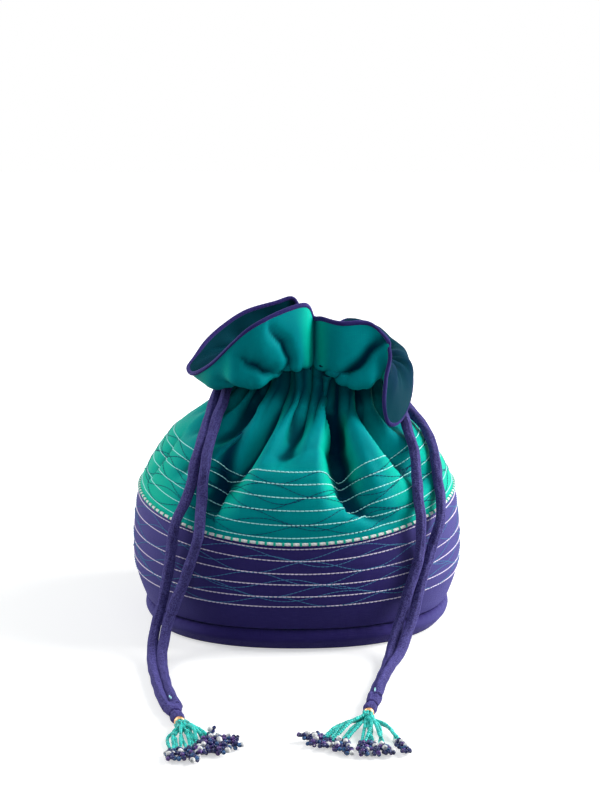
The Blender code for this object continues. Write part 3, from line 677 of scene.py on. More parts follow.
class Paint(Nodes):
    """A material that is built round one Principled shader."""

    def __init__(self, name, **constants):
        self.material = bpy.data.materials.new(name)
        self.material.use_nodes = True
        super().__init__(self.material.node_tree)
        self.shader = self.tree.nodes["Principled BSDF"]
        self.feed(self.shader, constants)

    def sine(self, value):
        made = self.node("ShaderNodeMath", {"operation": "SINE"}, {0: value})
        return Value(self, made.outputs[0])

    def attribute(self, name):
        return Value(self, self.node("ShaderNodeAttribute", {"attribute_name": name}).outputs["Fac"])

    def uv(self):
        """The two directions of the cloth, in metres."""
        found = self.node("ShaderNodeUVMap", {"uv_map": "UVMap"})
        split = self.node("ShaderNodeSeparateXYZ", inputs={0: found.outputs[0]})
        return Value(self, split.outputs[0]), Value(self, split.outputs[1])

    def place(self):
        return self.node("ShaderNodeTexCoord").outputs["Object"]

    def noise(self, vector, scale, detail=3.0):
        made = self.node("ShaderNodeTexNoise", inputs={"vector": vector, "scale": scale, "detail": detail})
        return Value(self, made.outputs[0])

    def stretched(self, u, v, u_scale, v_scale):
        """The cloth's directions as a vector, for threads that are longer one way."""
        made = self.node("ShaderNodeCombineXYZ", inputs={0: u * u_scale, 1: v * v_scale})
        return made.outputs[0]

    def mix(self, low, high, share):
        """A colour between two others."""
        made = self.node(
            "ShaderNodeMix", {"data_type": "RGBA", "clamp_factor": True}, {0: share, 6: low, 7: high})
        return made.outputs[2]

    def bump(self, height, distance, strength=1.0):
        made = self.node(
            "ShaderNodeBump", inputs={"height": height, "distance": distance, "strength": strength})
        self.feed(self.shader, {"normal": made.outputs[0]})

    def surface(self, **inputs):
        self.feed(self.shader, inputs)
        return self.material


def scaled(tone, factor):
    """A colour made lighter or darker."""
    return tuple(channel * factor for channel in tone)


def full_strength(tone):
    """The same hue, with its strongest channel at 1."""
    return tuple(channel / max(tone) for channel in tone)


def silk(name, open_cloth, glow, shade, roughness, sheen, thread_pitch, slub):
    """Shot silk: a fine weave with slubs, a painted highlight in another colour where it turns to the side or
    faces up, and painted shade in its folds.
    """
    shine = full_strength(glow)
    paint = Paint(
        name, roughness=roughness, sheen_weight=sheen, sheen_roughness=0.4, sheen_tint=shine,
        specular_ior_level=0.1, specular_tint=shine)
    u, v = paint.uv()
    warp = paint.sine(u * (2 * pi / thread_pitch))
    weft = paint.sine(v * (2 * pi / thread_pitch))
    along = paint.noise(paint.stretched(u, v, 160, 2400), 1.0, 2.0)
    down = paint.noise(paint.stretched(u, v, 2000, 140), 1.0, 2.0)
    cloud = paint.noise(paint.place(), 28.0)
    # The painted shade of folds and creases, and the painted highlight where the cloth turns to the lights, as
    # the mesh holds them.
    hollow, turn = paint.attribute("hollow"), paint.attribute("glow")
    tone = paint.mix(open_cloth, glow, turn * (0.75 + cloud * 0.5))
    worn = paint.mix(tone, glow, (along - 0.5) * slub + (cloud - 0.5) * 0.25)
    # Painted shade in the folds.
    folded = paint.mix(worn, shade, hollow)
    fibres = paint.mix(folded, shade, (0.5 - down) * slub)
    paint.bump(warp * weft * 0.35 + along * 0.8 + down * 0.5, 0.00022, 0.55)
    return paint.surface(base_color=fibres, roughness=roughness + (cloud - 0.5) * 0.15)


def shared(make):
    """Each material is made once, and found again by its name."""
    made = {}

    def find(scene, *words):
        key = (make.__name__, *words)
        if key not in made:
            made[key] = make(scene, *words)
        return made[key]

    return find


@shared
def teal_silk(scene):
    tints = scene.potli_colours
    return silk("teal_silk_cloth", tints.teal, tints.green, tints.shade, 0.55, 0.12, 0.00055, 0.55)


@shared
def lining_silk(scene):
    tints = scene.potli_colours
    return silk("teal_lining_cloth", tints.lining, tints.lining, tints.shade, 0.7, 0.05, 0.00055, 0.4)


@shared
def indigo_silk(scene):
    tints = scene.potli_colours
    return silk("indigo_silk_cloth", tints.indigo, tints.violet, tints.night, 0.65, 0.22, 0.0006, 0.8)


@shared
def cord_silk(scene):
    """The worn cloth of the drawstrings, with slubs and a little fuzz."""
    tints = scene.potli_colours
    paint = Paint(
        "indigo_cord_cloth", roughness=0.75, sheen_weight=0.35, sheen_roughness=0.5,
        sheen_tint=full_strength(tints.violet), specular_ior_level=0.2)
    u, v = paint.uv()
    slub = paint.noise(paint.stretched(u, v, 900, 300), 1.0, 3.0)
    fuzz = paint.noise(paint.place(), 1500.0, 4.0)
    worn = paint.noise(paint.place(), 350.0, 3.0)
    tone = paint.mix(tints.night, tints.indigo, (slub - 0.5) * 2.4 + (worn - 0.5) * 1.2 + 0.85)
    fleck = paint.mix(tone, tints.violet, (fuzz - 0.5) * 5 + (worn - 0.5) + 0.45)
    paint.bump(fuzz * 0.8 + slub * 0.8 + worn * 0.9, 0.0007, 0.9)
    return paint.surface(base_color=fleck)


@shared
def binding_silk(scene):
    tints = scene.potli_colours
    return silk("indigo_binding_cloth", tints.indigo, tints.violet, tints.night, 0.55, 0.35, 0.0005, 0.6)


@shared
def thread(scene, tint):
    """A twisted sewing thread in one of the colours."""
    paint = Paint(f"{tint}_twist", roughness=0.6, specular_ior_level=0.12)
    tone = getattr(scene.potli_colours, tint)
    fuzz = paint.noise(paint.place(), 2500.0, 2.0)
    paint.bump(fuzz, 0.0001, 0.5)
    return paint.surface(base_color=paint.mix(scaled(tone, 0.85), tone, 0.35 + fuzz))


YARN_TWIST = 1.9 * MM


@shared
def yarn(scene):
    """The soft white yarn of the seam cord, with its twist."""
    paint = Paint("white_yarn_twist", roughness=0.8, sheen_weight=0.3, specular_ior_level=0.2)
    u, v = paint.uv()
    twist = paint.sine((u + v * 0.6) * (2 * pi / YARN_TWIST))
    tone = scene.potli_colours.white_yarn
    fuzz = paint.noise(paint.place(), 1800.0)
    paint.bump(twist * 0.5 + fuzz, 0.00025, 0.6)
    return paint.surface(base_color=paint.mix(scaled(tone, 0.8), tone, twist * 0.3 + fuzz))


@shared
def polished_gold(scene):
    """Thin plating with small dents and a little tarnish."""
    paint = Paint("polished_gold_plate", metallic=1.0, roughness=0.25)
    tone = scene.potli_colours.gold
    dents = paint.noise(paint.place(), 700.0)
    paint.bump(dents, 0.0001, 0.4)
    return paint.surface(
        base_color=paint.mix(scaled(tone, 0.6), tone, dents * 1.6), roughness=0.18 + dents * 0.2)


@shared
def glass(scene, tint):
    """Opaque glass, a little different from bead to bead."""
    paint = Paint(f"{tint}_glass", roughness=0.2, specular_ior_level=0.4)
    tone = getattr(scene.potli_colours, tint)
    spread = paint.noise(paint.place(), 420.0, 1.0)
    light = tuple(min(1.0, channel * 1.4 + 0.01) for channel in tone)
    shown = paint.mix(scaled(tone, 0.65), light, (spread - 0.5) * 2.2 + 0.5)
    return paint.surface(base_color=shown, roughness=0.14 + spread * 0.14)


def grey_board():
    """Pressed board with its fibres."""
    paint = Paint("pressed_board", roughness=0.9)
    fibres = paint.noise(paint.place(), 900.0, 4.0)
    paint.bump(fibres, 0.0002, 0.5)
    return paint.surface(base_color=paint.mix((0.27, 0.25, 0.22), (0.42, 0.40, 0.36), fibres))


def placed(name, data):
    """A new object in the scene."""
    made = bpy.data.objects.new(name, data)
    bpy.context.collection.objects.link(made)
    return made


def mesh_of(name, bm):
    """The mesh of a finished bmesh."""
    mesh = bpy.data.meshes.new(name)
    bm.to_mesh(mesh)
    bm.free()
    return mesh


WHITE = (1.0, 1.0, 1.0)
WARM_LIGHT, COOL_LIGHT = (1.0, 0.99, 0.96), (0.86, 0.94, 1.0)
SKY_LIGHT = (0.86, 0.93, 1.0)
LIT_FLOOR, SEEN_FLOOR = (0.28, 0.28, 0.28), (0.75, 0.75, 0.75)
# The floor's glow grows from the bag out to the edge of the view: (distance, strength).
GLOW_NEAR, GLOW_FAR = (0.2, 0.48), (0.8, 1.05)
FLOOR_BELOW = 0.2 * MM
RIGHT_STRONGER = 2.4


def make_camera(scene):
    settings = scene.potli_stage
    data = bpy.data.cameras.new("camera")
    data.sensor_width = 36
    data.lens = settings.lens
    data.clip_start, data.clip_end = 0.01, 20
    camera = placed("camera", data)
    camera.location = (0.002, -settings.distance, settings.height)
    camera.rotation_euler = (pi / 2 - settings.down, 0, 0)
    scene.camera = camera


def softbox(name, place, size, power, tint):
    """A soft rectangular light that faces the bag's middle."""
    data = bpy.data.lights.new(name, "AREA")
    data.shape = "RECTANGLE"
    data.size, data.size_y = size
    data.energy = power
    data.color = tint
    lamp = placed(name, data)
    lamp.location = place
    lamp.rotation_euler = (Vector((0, 0, 0.1)) - Vector(place)).to_track_quat("-Z", "Y").to_euler()


def make_floor():
    """A pale floor that fades into the white background and keeps a soft shadow."""
    bm = bmesh.new()
    bmesh.ops.create_grid(bm, x_segments=1, y_segments=1, size=6)
    mesh = mesh_of("floor", bm)
    paint = Paint("pale_floor", base_color=LIT_FLOOR, roughness=0.9)
    away = paint.node("ShaderNodeVectorMath", {"operation": "LENGTH"}, {0: paint.place()})
    (near, weak), (far, strong) = GLOW_NEAR, GLOW_FAR
    strength = paint.node(
        "ShaderNodeMapRange", {"interpolation_type": "SMOOTHSTEP"},
        {0: away.outputs["Value"], 1: near, 2: far, 3: weak, 4: strong})
    glow = paint.node("ShaderNodeCombineColor", inputs={channel: strength.outputs[0] for channel in range(3)})
    seen = paint.node("ShaderNodeBsdfPrincipled", inputs={
        "base_color": SEEN_FLOOR, "roughness": 1.0, "specular_ior_level": 0.0,
        "emission_color": glow.outputs[0], "emission_strength": 1.0})
    paint.finish(paint.shader, seen, "Material Output")
    mesh.materials.append(paint.material)
    floor = placed("floor", mesh)
    floor.location.z = -FLOOR_BELOW


def make_sky(scene):
    """Even white light, and a white background."""
    world = bpy.data.worlds.new("studio")
    world.use_nodes = True
    sky = Nodes(world.node_tree)
    light = sky.tree.nodes["Background"]
    sky.feed(light, {"color": SKY_LIGHT, "strength": scene.potli_stage.sky})
    white = sky.node("ShaderNodeBackground", inputs={"color": WHITE})
    sky.finish(light, white, "World Output")
    scene.world = world


def make_stage(scene):
    """The camera at the photograph's angle, two softboxes, a front light, the floor and the background."""
    settings = scene.potli_stage
    scene.view_settings.view_transform = "Standard"
    make_camera(scene)
    beside, above = (0.7, 0.9), (1.2, 0.8)
    softbox("left_softbox", (-1.0, 0.05, 0.75), beside, settings.side_light, WARM_LIGHT)
    softbox("right_softbox", (1.0, 0.0, 0.6), beside, settings.side_light * RIGHT_STRONGER, WARM_LIGHT)
    softbox("front_softbox", (0.0, -1.45, 0.62), above, settings.front_light, COOL_LIGHT)
    make_floor()
    make_sky(scene)


# The rows of points of the outer cloth: from a level to another, and how many.
CLOTH_ROWS = [
    (0, BAND_SEAM, 48),
    (BAND_SEAM, QUILT_TOP, 40),
    (QUILT_TOP, CHANNEL_BOTTOM, 32),
    (CHANNEL_BOTTOM, CHANNEL_TOP, 22),
    (CHANNEL_TOP, EDGE, 40),
]
COLUMNS = 360


@lru_cache(maxsize=None)
def outer_cloth():
    """The inner face of the outer cloth, with all its folds and creases."""
    parts = [np.linspace(low, high, rows + 1)[:-1] for low, high, rows in CLOTH_ROWS]
    levels = np.concatenate([*parts, [EDGE]])
    angles = np.tile(column_angles(COLUMNS), (len(levels), 1))
    heights = np.repeat(levels[:, None], COLUMNS, 1)
    below = heights <= CHANNEL_TOP
    points = np.where(
        below[..., None],
        folded_wall(angles, np.minimum(heights, CHANNEL_TOP)),
        ruffle(angles, np.maximum(heights - CHANNEL_TOP, 0)),
    )
    cloth = Cloth(points, levels)
    for crease in CREASES:
        cloth = cloth.pressed(crease)
    gathered = gathers(angles, heights)
    cloth = cloth.moved(gathered)
    # The drawn neck's painted shade joins that of the creases.
    cloth.painted_crease_shade = np.maximum(cloth.painted_crease_shade, neck_shade(heights, gathered))
    return cloth


def neck_shade(levels, gathered):
    """How much painted shade the drawn neck gets: most of all in the valleys of its gathers and under the
    ruffle, and less on their ridges.
    """
    valley = -gathered / GATHER_DEPTH
    shade = between(levels, *NECK_SHADE) * 0.4 + between(levels, *SHADOW_UNDER_RUFFLE) * 0.4
    return shade + np.where(valley > 0, valley, valley * 0.35)


def gathers(angles, levels):
    """The small gathers on both sides of the drawn neck."""
    turn = np.radians(angles)
    phase = GATHERS * turn + 1.6 * np.sin(3 * turn) + 0.9 * np.sin(7 * turn + levels)
    wave = 2 * np.abs(np.sin(phase / 2)) ** 0.75 - 1.1
    uneven = 0.65 + 0.35 * np.sin(5 * turn + 1.0)
    return GATHER_DEPTH * wave * uneven * between(levels, *GATHERED)


def edge_squeeze(levels):
    """How much the binding squeezes the layers at the ruffle's edge: 1 is not at all."""
    return 1 - 0.5 * smooth((levels - EDGE + 0.15) / 0.15)


def quilting_relief(levels):
    """How far the cloth stands up between the rows of stitches, as a share."""
    rows = np.array([*BAND_ROWS, BAND_SEAM, *TEAL_ROWS])
    number = np.clip(np.searchsorted(rows, levels, side="right"), 1, len(rows) - 1)
    share = (levels - rows[number - 1]) / (rows[number] - rows[number - 1])
    return np.where((share > 0) & (share < 1), np.abs(np.sin(pi * np.clip(share, 0, 1))) ** 0.6, 0)


def ripples(points, size):
    """A gentle unevenness from -1 to 1 over points in space, about size across."""
    x, y, z = np.moveaxis(points / size, -1, 0)
    waves = np.sin(2.1 * x + 1.3 * y + 0.4) + np.sin(1.7 * y - 2.3 * z + 1.1)
    waves = waves + np.sin(2.6 * z + 1.9 * x + 2.7)
    finer = np.sin(4.3 * x - 3.1 * z + 0.9) + np.sin(3.9 * y + 4.7 * x + 2.2)
    return (waves + finer * 0.5) / 4


@lru_cache(maxsize=None)
def outer_face(cloth_thickness, pillow):
    """The outer cloth's outer face, with the quilting's relief."""
    cloth = outer_cloth()
    levels = cloth.levels[:, None]
    uneven = 0.75 + 0.35 * ripples(cloth.points, 9 * MM)
    relief = pillow * quilting_relief(levels) * uneven
    return cloth.moved(cloth_thickness * edge_squeeze(levels) + relief)


def blurred(values, rows, columns):
    """Values of the rows and columns, averaged over a window."""
    for _ in range(2):
        padded = np.pad(values, ((rows, rows), (0, 0), (0, 0)), mode="edge")
        values = sum(padded[i:i + len(values)] for i in range(2 * rows + 1)) / (2 * rows + 1)
        values = sum(np.roll(values, i, 1) for i in range(-columns, columns + 1)) / (2 * columns + 1)
    return values


def painted_fold_shade(cloth):
    """How much painted shade each point gets for lying in a fold or a crease, from 0 on open cloth to 1 in a
    deep one.
    """
    normals = cloth.normals()
    narrow = ((blurred(cloth.points, 4, 5) - cloth.points) * normals).sum(-1)
    wide = ((blurred(cloth.points, 9, 13) - cloth.points) * normals).sum(-1)
    lying_open = 0.65 - 0.5 * smooth((cloth.levels[:, None] - CHANNEL_TOP) / 0.2)
    open_share = (1 - 0.7 * smooth(narrow / (1.8 * MM))) * (1 - lying_open * smooth(wide / (6 * MM)))
    return 1 - open_share * (1 - 0.85 * smooth(cloth.painted_crease_shade * 1.1))


def painted_side_highlight(cloth):
    """How much painted highlight each point gets: most where it turns to the side lights, which shows the shot
    silk's green warp, some where it faces up, and a little more on the quilted cloth.
    """
    normals = blurred(cloth.normals(), 3, 3)
    quilted = smooth((QUILT_TOP + 0.4 - cloth.levels[:, None]) / 0.5)
    sides = smooth((np.abs(normals[..., 0]) - 0.3) / 0.6) * 0.9
    return sides + smooth((normals[..., 2] - 0.55) / 0.5) * 0.3 + quilted * 0.14 - 0.06


def linked(name, mesh, *paints):
    """A piece of that mesh, riding on the bag."""
    for paint in paints:
        mesh.materials.append(paint)
    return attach(placed(name, mesh), "root")


def sheet_mesh(name, cloth, flat_width, closed_ends=False, marks=None):
    """A mesh of a sheet that closes round the bag, with its flat metres as its UV map."""
    rows, columns = cloth.points.shape[:2]
    bm = bmesh.new()
    bm.loops.layers.uv.new("UVMap")
    bmesh.ops.create_grid(bm, x_segments=columns, y_segments=rows - 1, size=0.5, calc_uvs=True)
    bm.verts.ensure_lookup_table()
    starts = range(0, rows * (columns + 1), columns + 1)
    bmesh.ops.weld_verts(bm, targetmap={bm.verts[start + columns]: bm.verts[start] for start in starts})
    if closed_ends:
        bmesh.ops.holes_fill(bm, edges=[edge for edge in bm.edges if edge.is_boundary], sides=0)
    mesh = mesh_of(name, bm)
    mesh.vertices.foreach_set("co", cloth.points.reshape(-1))
    steps = np.linalg.norm(np.diff(cloth.points, axis=0), axis=-1).mean(1)
    heights = np.concatenate(((0,), np.cumsum(steps)))
    uv = np.zeros(2 * len(mesh.loops))
    mesh.uv_layers["UVMap"].uv.foreach_get("vector", uv)
    uv[0::2] *= flat_width
    uv[1::2] = np.interp(uv[1::2] * (rows - 1), np.arange(rows), heights)
    mesh.uv_layers["UVMap"].uv.foreach_set("vector", uv)
    # Each mark is painted shade or a painted highlight, stored on the points.
    for mark, values in (marks or {}).items():
        layer = mesh.attributes.new(mark, "FLOAT", "POINT")
        layer.data.foreach_set("value", np.broadcast_to(values, (rows, columns)).reshape(-1))
    mesh.shade_smooth()
    mesh.update()
    return mesh


def joined(piece):
    """Joins the first and the last row of a sheet that is rolled into a ring."""
    weld = piece.modifiers.new("joined", "WELD")
    weld.merge_threshold = 0.02 * MM
    return piece


def thickened(piece, thickness):
    """Gives a sheet its thickness, on its inner side."""
    wall = piece.modifiers.new("thickness", "SOLIDIFY")
    wall.thickness = thickness
    wall.offset = -1
    wall.use_even_offset = False
    return piece


# The painted shade of folds and creases and the painted highlight of the sides, which the silks read.
def painted_light_marks(cloth):
    return {"hollow": painted_fold_shade(cloth), "glow": painted_side_highlight(cloth)}


def flat_size(cloth):
    """The width and the length of the flat strip that a sheet was cut from."""
    widths = np.linalg.norm(cloth.points - np.roll(cloth.points, 1, 1), axis=-1).sum(1)
    lengths = np.linalg.norm(np.diff(cloth.points, axis=0), axis=-1).sum(0)
    return float(widths.max()), float(lengths.mean())


def face_of(scene):
    sizes = scene.potli_cloth
    return outer_face(sizes.cloth, sizes.pillow)


# The thickness that is modelled, as a share of the cloth's: the quilting's relief lies on top of it.
WALL_SHARE = 0.8


def make_upper_wall(scene):
    """The teal cloth, from the band's seam to the ruffle's edge."""
    face = face_of(scene).part(BAND_SEAM, EDGE)
    width, length = flat_size(face)
    mesh = sheet_mesh("gathered_upper_cloth", face, width, marks=painted_light_marks(face))
    piece = linked("gathered_upper_cloth", mesh, teal_silk(scene))
    thickened(piece, scene.potli_cloth.cloth * WALL_SHARE)
    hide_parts("upper_wall")


def make_lower_band(scene):
    """The quilted indigo cloth between the base and the seam."""
    face = face_of(scene).part(0, BAND_SEAM)
    tuck = 1.6 * MM * (1 - smooth(face.levels[:, None] / 0.16))
    face = face.moved(-tuck)
    width, length = flat_size(face)
    mesh = sheet_mesh("quilted_band", face, width, marks=painted_light_marks(face))
    piece = linked("quilted_band", mesh, indigo_silk(scene))
    thickened(piece, scene.potli_cloth.cloth * WALL_SHARE)
    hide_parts("lower_band")


def loft(rings, counts):
    """Rows on the smooth surface through rings of points, with a number of steps between each two."""
    rings = [rings[0] * 2 - rings[1], *rings, rings[-1] * 2 - rings[-2]]
    rows = []
    for number, count in enumerate(counts):
        around = rings[number:number + 4]
        rows += [catmull_rom(*around, step / count) for step in range(count)]
    return np.stack([*rows, rings[-2]])


def ring_round(columns, half_width, half_depth, height, centre_x=0.0, tilt=0.0, squarish=True):
    """A ring of the base, or a tilted one at the neck."""
    angles = column_angles(columns)
    s, c = sine_cosine(angles)
    out = roundness(angles, np.zeros_like(angles)) if squarish else 1.0
    return np.stack((centre_x + half_width * out * s, -half_depth * out * c, height - tilt * s), -1)


BASE_SEAM_HEIGHT = 13 * MM
# Half widths and half depths: where the base stands, where its rolled side reaches, and of the lining's floor
# and its corner.
FOOT = (88 * MM, 84 * MM)
ROLL = (94.5 * MM, 92 * MM)
LINING_FLOOR, LINING_FLOOR_HEIGHT = (84 * MM, 80 * MM), 4 * MM
LINING_CORNER = (91 * MM, 88.5 * MM)


def make_base(scene):
    """The indigo base: a disc with a soft rolled side, sewn to the band."""

    def ring(share_out, height, grow=0.0):
        width, depth = (low + (high - low) * share_out + grow for low, high in zip(FOOT, ROLL))
        return ring_round(COLUMNS, width, depth, height)

    centre = np.array((0, 0, 0.4 * MM))
    floor = [centre + (ring(0, 0) - centre) * share for share in (0.004, 0.5, 0.97)]
    for row in floor:
        row[:, 2] = 0.1 * MM
    side = [
        ring(0.35, 0.9 * MM),
        ring(0.72, 3.4 * MM),
        ring(1.0, 6.8 * MM, 0.3 * MM),
        ring(1.0, 10.4 * MM, -0.2 * MM),
        ring(1.0, BASE_SEAM_HEIGHT - 0.6 * MM, -1.7 * MM),
        ring(1.0, BASE_SEAM_HEIGHT - 0.2 * MM, -3.6 * MM),
    ]
    points = loft([*floor, *side], (8, 8, 4, 5, 6, 6, 5, 3))
    cloth = Cloth(points, np.arange(len(points)))
    turns = np.radians(cloth.angles)
    puckers = 0.22 * MM * np.sin(turns * 96 + 2 * np.sin(turns * 7))
    near_seam = smooth((points[..., 2] - 8 * MM) / (4.5 * MM))
    off_floor = smooth(points[..., 2] / (4 * MM))
    cloth = cloth.moved(puckers[None] * near_seam + 0.35 * MM * ripples(points, 16 * MM) * off_floor)
    width, _ = flat_size(cloth)
    mesh = sheet_mesh("rolled_base", cloth, width, marks=painted_light_marks(cloth))
    piece = linked("rolled_base", mesh, indigo_silk(scene))
    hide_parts("base_panel")
    board = bpy.data.objects["base_board"].data
    board.materials.clear()
    board.materials.append(grey_board())


def channel_ring(columns, end):
    """The lining's pleated inner side of the channel, at its lower or upper end."""
    height = 149 * MM + end * 7.1 * MM
    ring = ring_round(columns, 29.9 * MM, 23.9 * MM, height, NECK_SHIFT, NECK_TILT, False)
    centre = np.array((NECK_SHIFT, 0, 0))
    inward = (centre - ring) * (1, 1, 0)
    depth = 2.5 * MM * (1 + np.cos(2 * pi * column_angles(columns) / PLEAT_PITCH)) / 2
    return ring + unit(inward) * depth[:, None]


def make_lining(scene):
    """The teal lining, from the bag's floor, up inside the channel and out to the ruffle's edge."""
    cloth = outer_cloth()
    further_in = LINING_GAP_AT_FOOT * between(cloth.levels, *RUFFLE_FOOT)
    gap = (LINING_GAP + 0.15 * edge_squeeze(cloth.levels) + further_in)[:, None] * MM
    inner = Cloth(cloth.points - unit(blurred(cloth.normals(), 1, 1)) * gap[..., None], cloth.levels)

    def row(level):
        return inner.at(column_angles(COLUMNS), np.full(COLUMNS, level))

    width, depth = LINING_FLOOR
    floor = [ring_round(COLUMNS, size * width, size * depth, LINING_FLOOR_HEIGHT) for size in (0.004, 0.5, 1)]
    corner = ring_round(COLUMNS, *LINING_CORNER, BASE_SEAM_HEIGHT)
    wall = [row(level) for level in np.linspace(0.6, CHANNEL_BOTTOM - 0.25, 40)]
    low = loft([*floor, corner, wall[0], wall[1]], (5, 6, 6, 4, 1))[:-1]
    channel = [channel_ring(COLUMNS, end) for end in (-1, 1)]
    neck = loft([wall[-1], *channel, row(CHANNEL_TOP)], (7, 7, 7))
    top = [row(level) for level in np.linspace(CHANNEL_TOP + 0.03, EDGE, 40)]
    points = np.concatenate((low, np.stack(wall[1:-1]), neck, np.stack(top)))
    sheet = Cloth(points, np.arange(len(points)))
    width, length = flat_size(sheet)
    mesh = sheet_mesh("teal_lining", sheet, width, marks=painted_light_marks(sheet))
    piece = linked("teal_lining", mesh, lining_silk(scene))
    thickened(piece, scene.potli_cloth.lining)
    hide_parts("lining")


BINDING_RUN = 0.62


def make_binding(scene):
    """The indigo strip folded over the ruffle's edge, as a soft round hem."""
    sizes = scene.potli_cloth
    cloth = outer_cloth()
    columns, around = 900, 16
    angles = column_angles(columns)
    edge = cloth.at(angles, np.full(columns, EDGE))
    below = cloth.at(angles, np.full(columns, EDGE - 0.06))
    normals = cloth.sample(cloth.normals(), angles, np.full(columns, EDGE - 0.01))
    over = unit(edge - below)
    middle = edge - over * sizes.binding_depth * 0.35
    puckers = 1 + 0.05 * np.sin(np.radians(angles) * 210 + 3 * np.sin(np.radians(angles) * 11))
    points = []
    for step in range(around):
        turn = 2 * pi * step / around
        out = cos(turn) * sizes.binding_thickness / 2 * puckers
        up = sin(turn) * sizes.binding_depth * 0.62 * np.ones(columns)
        points.append(middle + normals * out[:, None] + over * up[:, None])
    section = np.stack([*points, points[0]])
    ring = Cloth(section, np.arange(len(section)))
    mesh = sheet_mesh("edge_binding_cloth", ring, BINDING_RUN, marks=painted_light_marks(ring))
    piece = joined(linked("edge_binding_cloth", mesh, binding_silk(scene)))
    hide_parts("edge_binding")


def curve_piece(name, lines, thickness, paint, resolution=1, closed=False):
    """A piece of many short threads, each a round line through its points."""
    data = bpy.data.curves.new(name, "CURVE")
    data.dimensions = "3D"
    data.bevel_depth = thickness / 2
    data.bevel_resolution = resolution
    data.use_fill_caps = not closed
    for line in lines:
        spline = data.splines.new("POLY")
        spline.points.add(len(line) - 1)
        flat = np.concatenate((line, np.ones((len(line), 1))), 1)
        spline.points.foreach_set("co", flat.reshape(-1))
        spline.use_cyclic_u = closed
    drawn = bpy.data.objects.new(name, data)
    mesh = bpy.data.meshes.new_from_object(drawn)
    bpy.data.objects.remove(drawn)
    mesh.name = name
    mesh.shade_smooth()
    mesh.materials.clear()
    return linked(name, mesh, paint)


# Where a stitch is drawn along its length, and how far its thread stands up there, in thicknesses.
STITCH_PLACES = np.array((0, 0.22, 0.5, 0.78, 1))
STITCH_LIFT = np.array((-0.55, 0.3, 0.42, 0.3, -0.55))


def row_of_stitches(face, levels_at, pitch, share, thickness, start=0.0):
    """The threads of one row: each comes up out of the cloth, runs along it and goes down again."""
    angles = np.linspace(-180, 180, 2881)
    levels = levels_at(angles)
    points = face.at(angles, levels)
    normals = unit(face.sample(face.normals(), angles, levels))
    run = run_along(points)
    stitches = []
    count = round(run[-1] / pitch)
    for number in range(count):
        places = (number + start + share * STITCH_PLACES) % count * (run[-1] / count)
        lift = STITCH_LIFT[:, None] * thickness
        outward = unit(read_along(places, run, normals))
        stitches.append(read_along(places, run, points) + outward * lift)
    return stitches


def straight_row(level, number):
    """A row that a hand guided along the cloth: it drifts a little."""
    return lambda angles: level + 0.018 * np.sin(np.radians(angles) * (3 + number % 3) + number)


def straight_rows(levels):
    return [straight_row(level, number) for number, level in enumerate(levels)]


def wavy_row(wave):
    """A row in even waves."""
    def level_at(angles):
        return wave.level + wave.height * np.sin(np.radians(angles) * wave.waves + 2 * pi * wave.phase)

    return level_at


def make_quilting(scene):
    """The rows of stitches: pale ones along both cloths and fine ones in waves between them."""
    face, sizes = face_of(scene), scene.potli_stitches
    kinds = {
        "pale_stitches": (straight_rows(TEAL_ROWS), sizes.thread, "pale_thread"),
        "pink_stitches": (straight_rows(BAND_ROWS), sizes.thread, "pink_thread"),
        "navy_wave_stitches": (map(wavy_row, TEAL_WAVES), sizes.fine_thread, "navy_thread"),
        "sea_wave_stitches": (map(wavy_row, BAND_WAVES), sizes.fine_thread, "sea_thread"),
    }
    for name, (rows, thickness, tint) in kinds.items():
        threads = []
        for number, row in enumerate(rows):
            threads += row_of_stitches(face, row, sizes.pitch, sizes.share, thickness, 0.37 * (number % 3))
        piece = curve_piece(name, threads, thickness, thread(scene, tint), resolution=0)


COUCHING_THREAD, BOUND_THREAD, JOINING_THREAD = 0.55 * MM, 0.5 * MM, 0.7 * MM


def make_seam_cord(scene):
    """The white cord on the band's seam, and the mint stitches that hold it."""
    sizes = scene.potli_stitches
    face = face_of(scene)
    columns, sides = 1800, 10
    angles = column_angles(columns)
    level = np.full(columns, BAND_SEAM)
    normals = unit(face.sample(face.normals(), angles, level))
    radius = sizes.seam_cord / 2
    line = face.at(angles, level) + normals * (radius * 0.75)
    along = unit(np.roll(line, -1, 0) - np.roll(line, 1, 0))
    across = np.cross(normals, along)
    run = run_along(line)
    length = run[-1] + np.linalg.norm(line[0] - line[-1])
    count = round(length / sizes.couching_pitch)
    held = np.cos(2 * pi * run / length * count)
    size = radius * (1 - 0.1 * held) * (1 - 0.22 * smooth((held - 0.75) / 0.25))
    rows = []
    for step in range(sides + 1):
        turn = -2 * pi * step / sides
        rows.append(line + (normals * sin(turn) + across * cos(turn)) * size[:, None])
    cord = Cloth(np.stack(rows), np.arange(sides + 1))
    mesh = sheet_mesh("white_seam_cord", cord, length)
    piece = joined(linked("white_seam_cord", mesh, yarn(scene)))
    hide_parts("seam_cord")
    turns = np.radians(np.linspace(-25, 205, 9))
    stitches = []
    for number in range(count):
        for beside in (-0.75, -0.25, 0.25, 0.75):
            place = number * length / count + beside * 0.62 * MM
            column = np.interp(place % length, run, np.arange(columns))
            low = int(column)
            centre, out, side = line[low], normals[low], across[low]
            forward = along[low] * (column - low) * (length / columns)
            arc = [centre + forward + (out * sin(turn) + side * cos(turn)) * radius * 1.06 for turn in turns]
            stitches.append(np.array(arc))
    mint = thread(scene, "mint_thread")
    held_by = curve_piece("seam_cord_stitches", stitches, COUCHING_THREAD, mint, resolution=0)


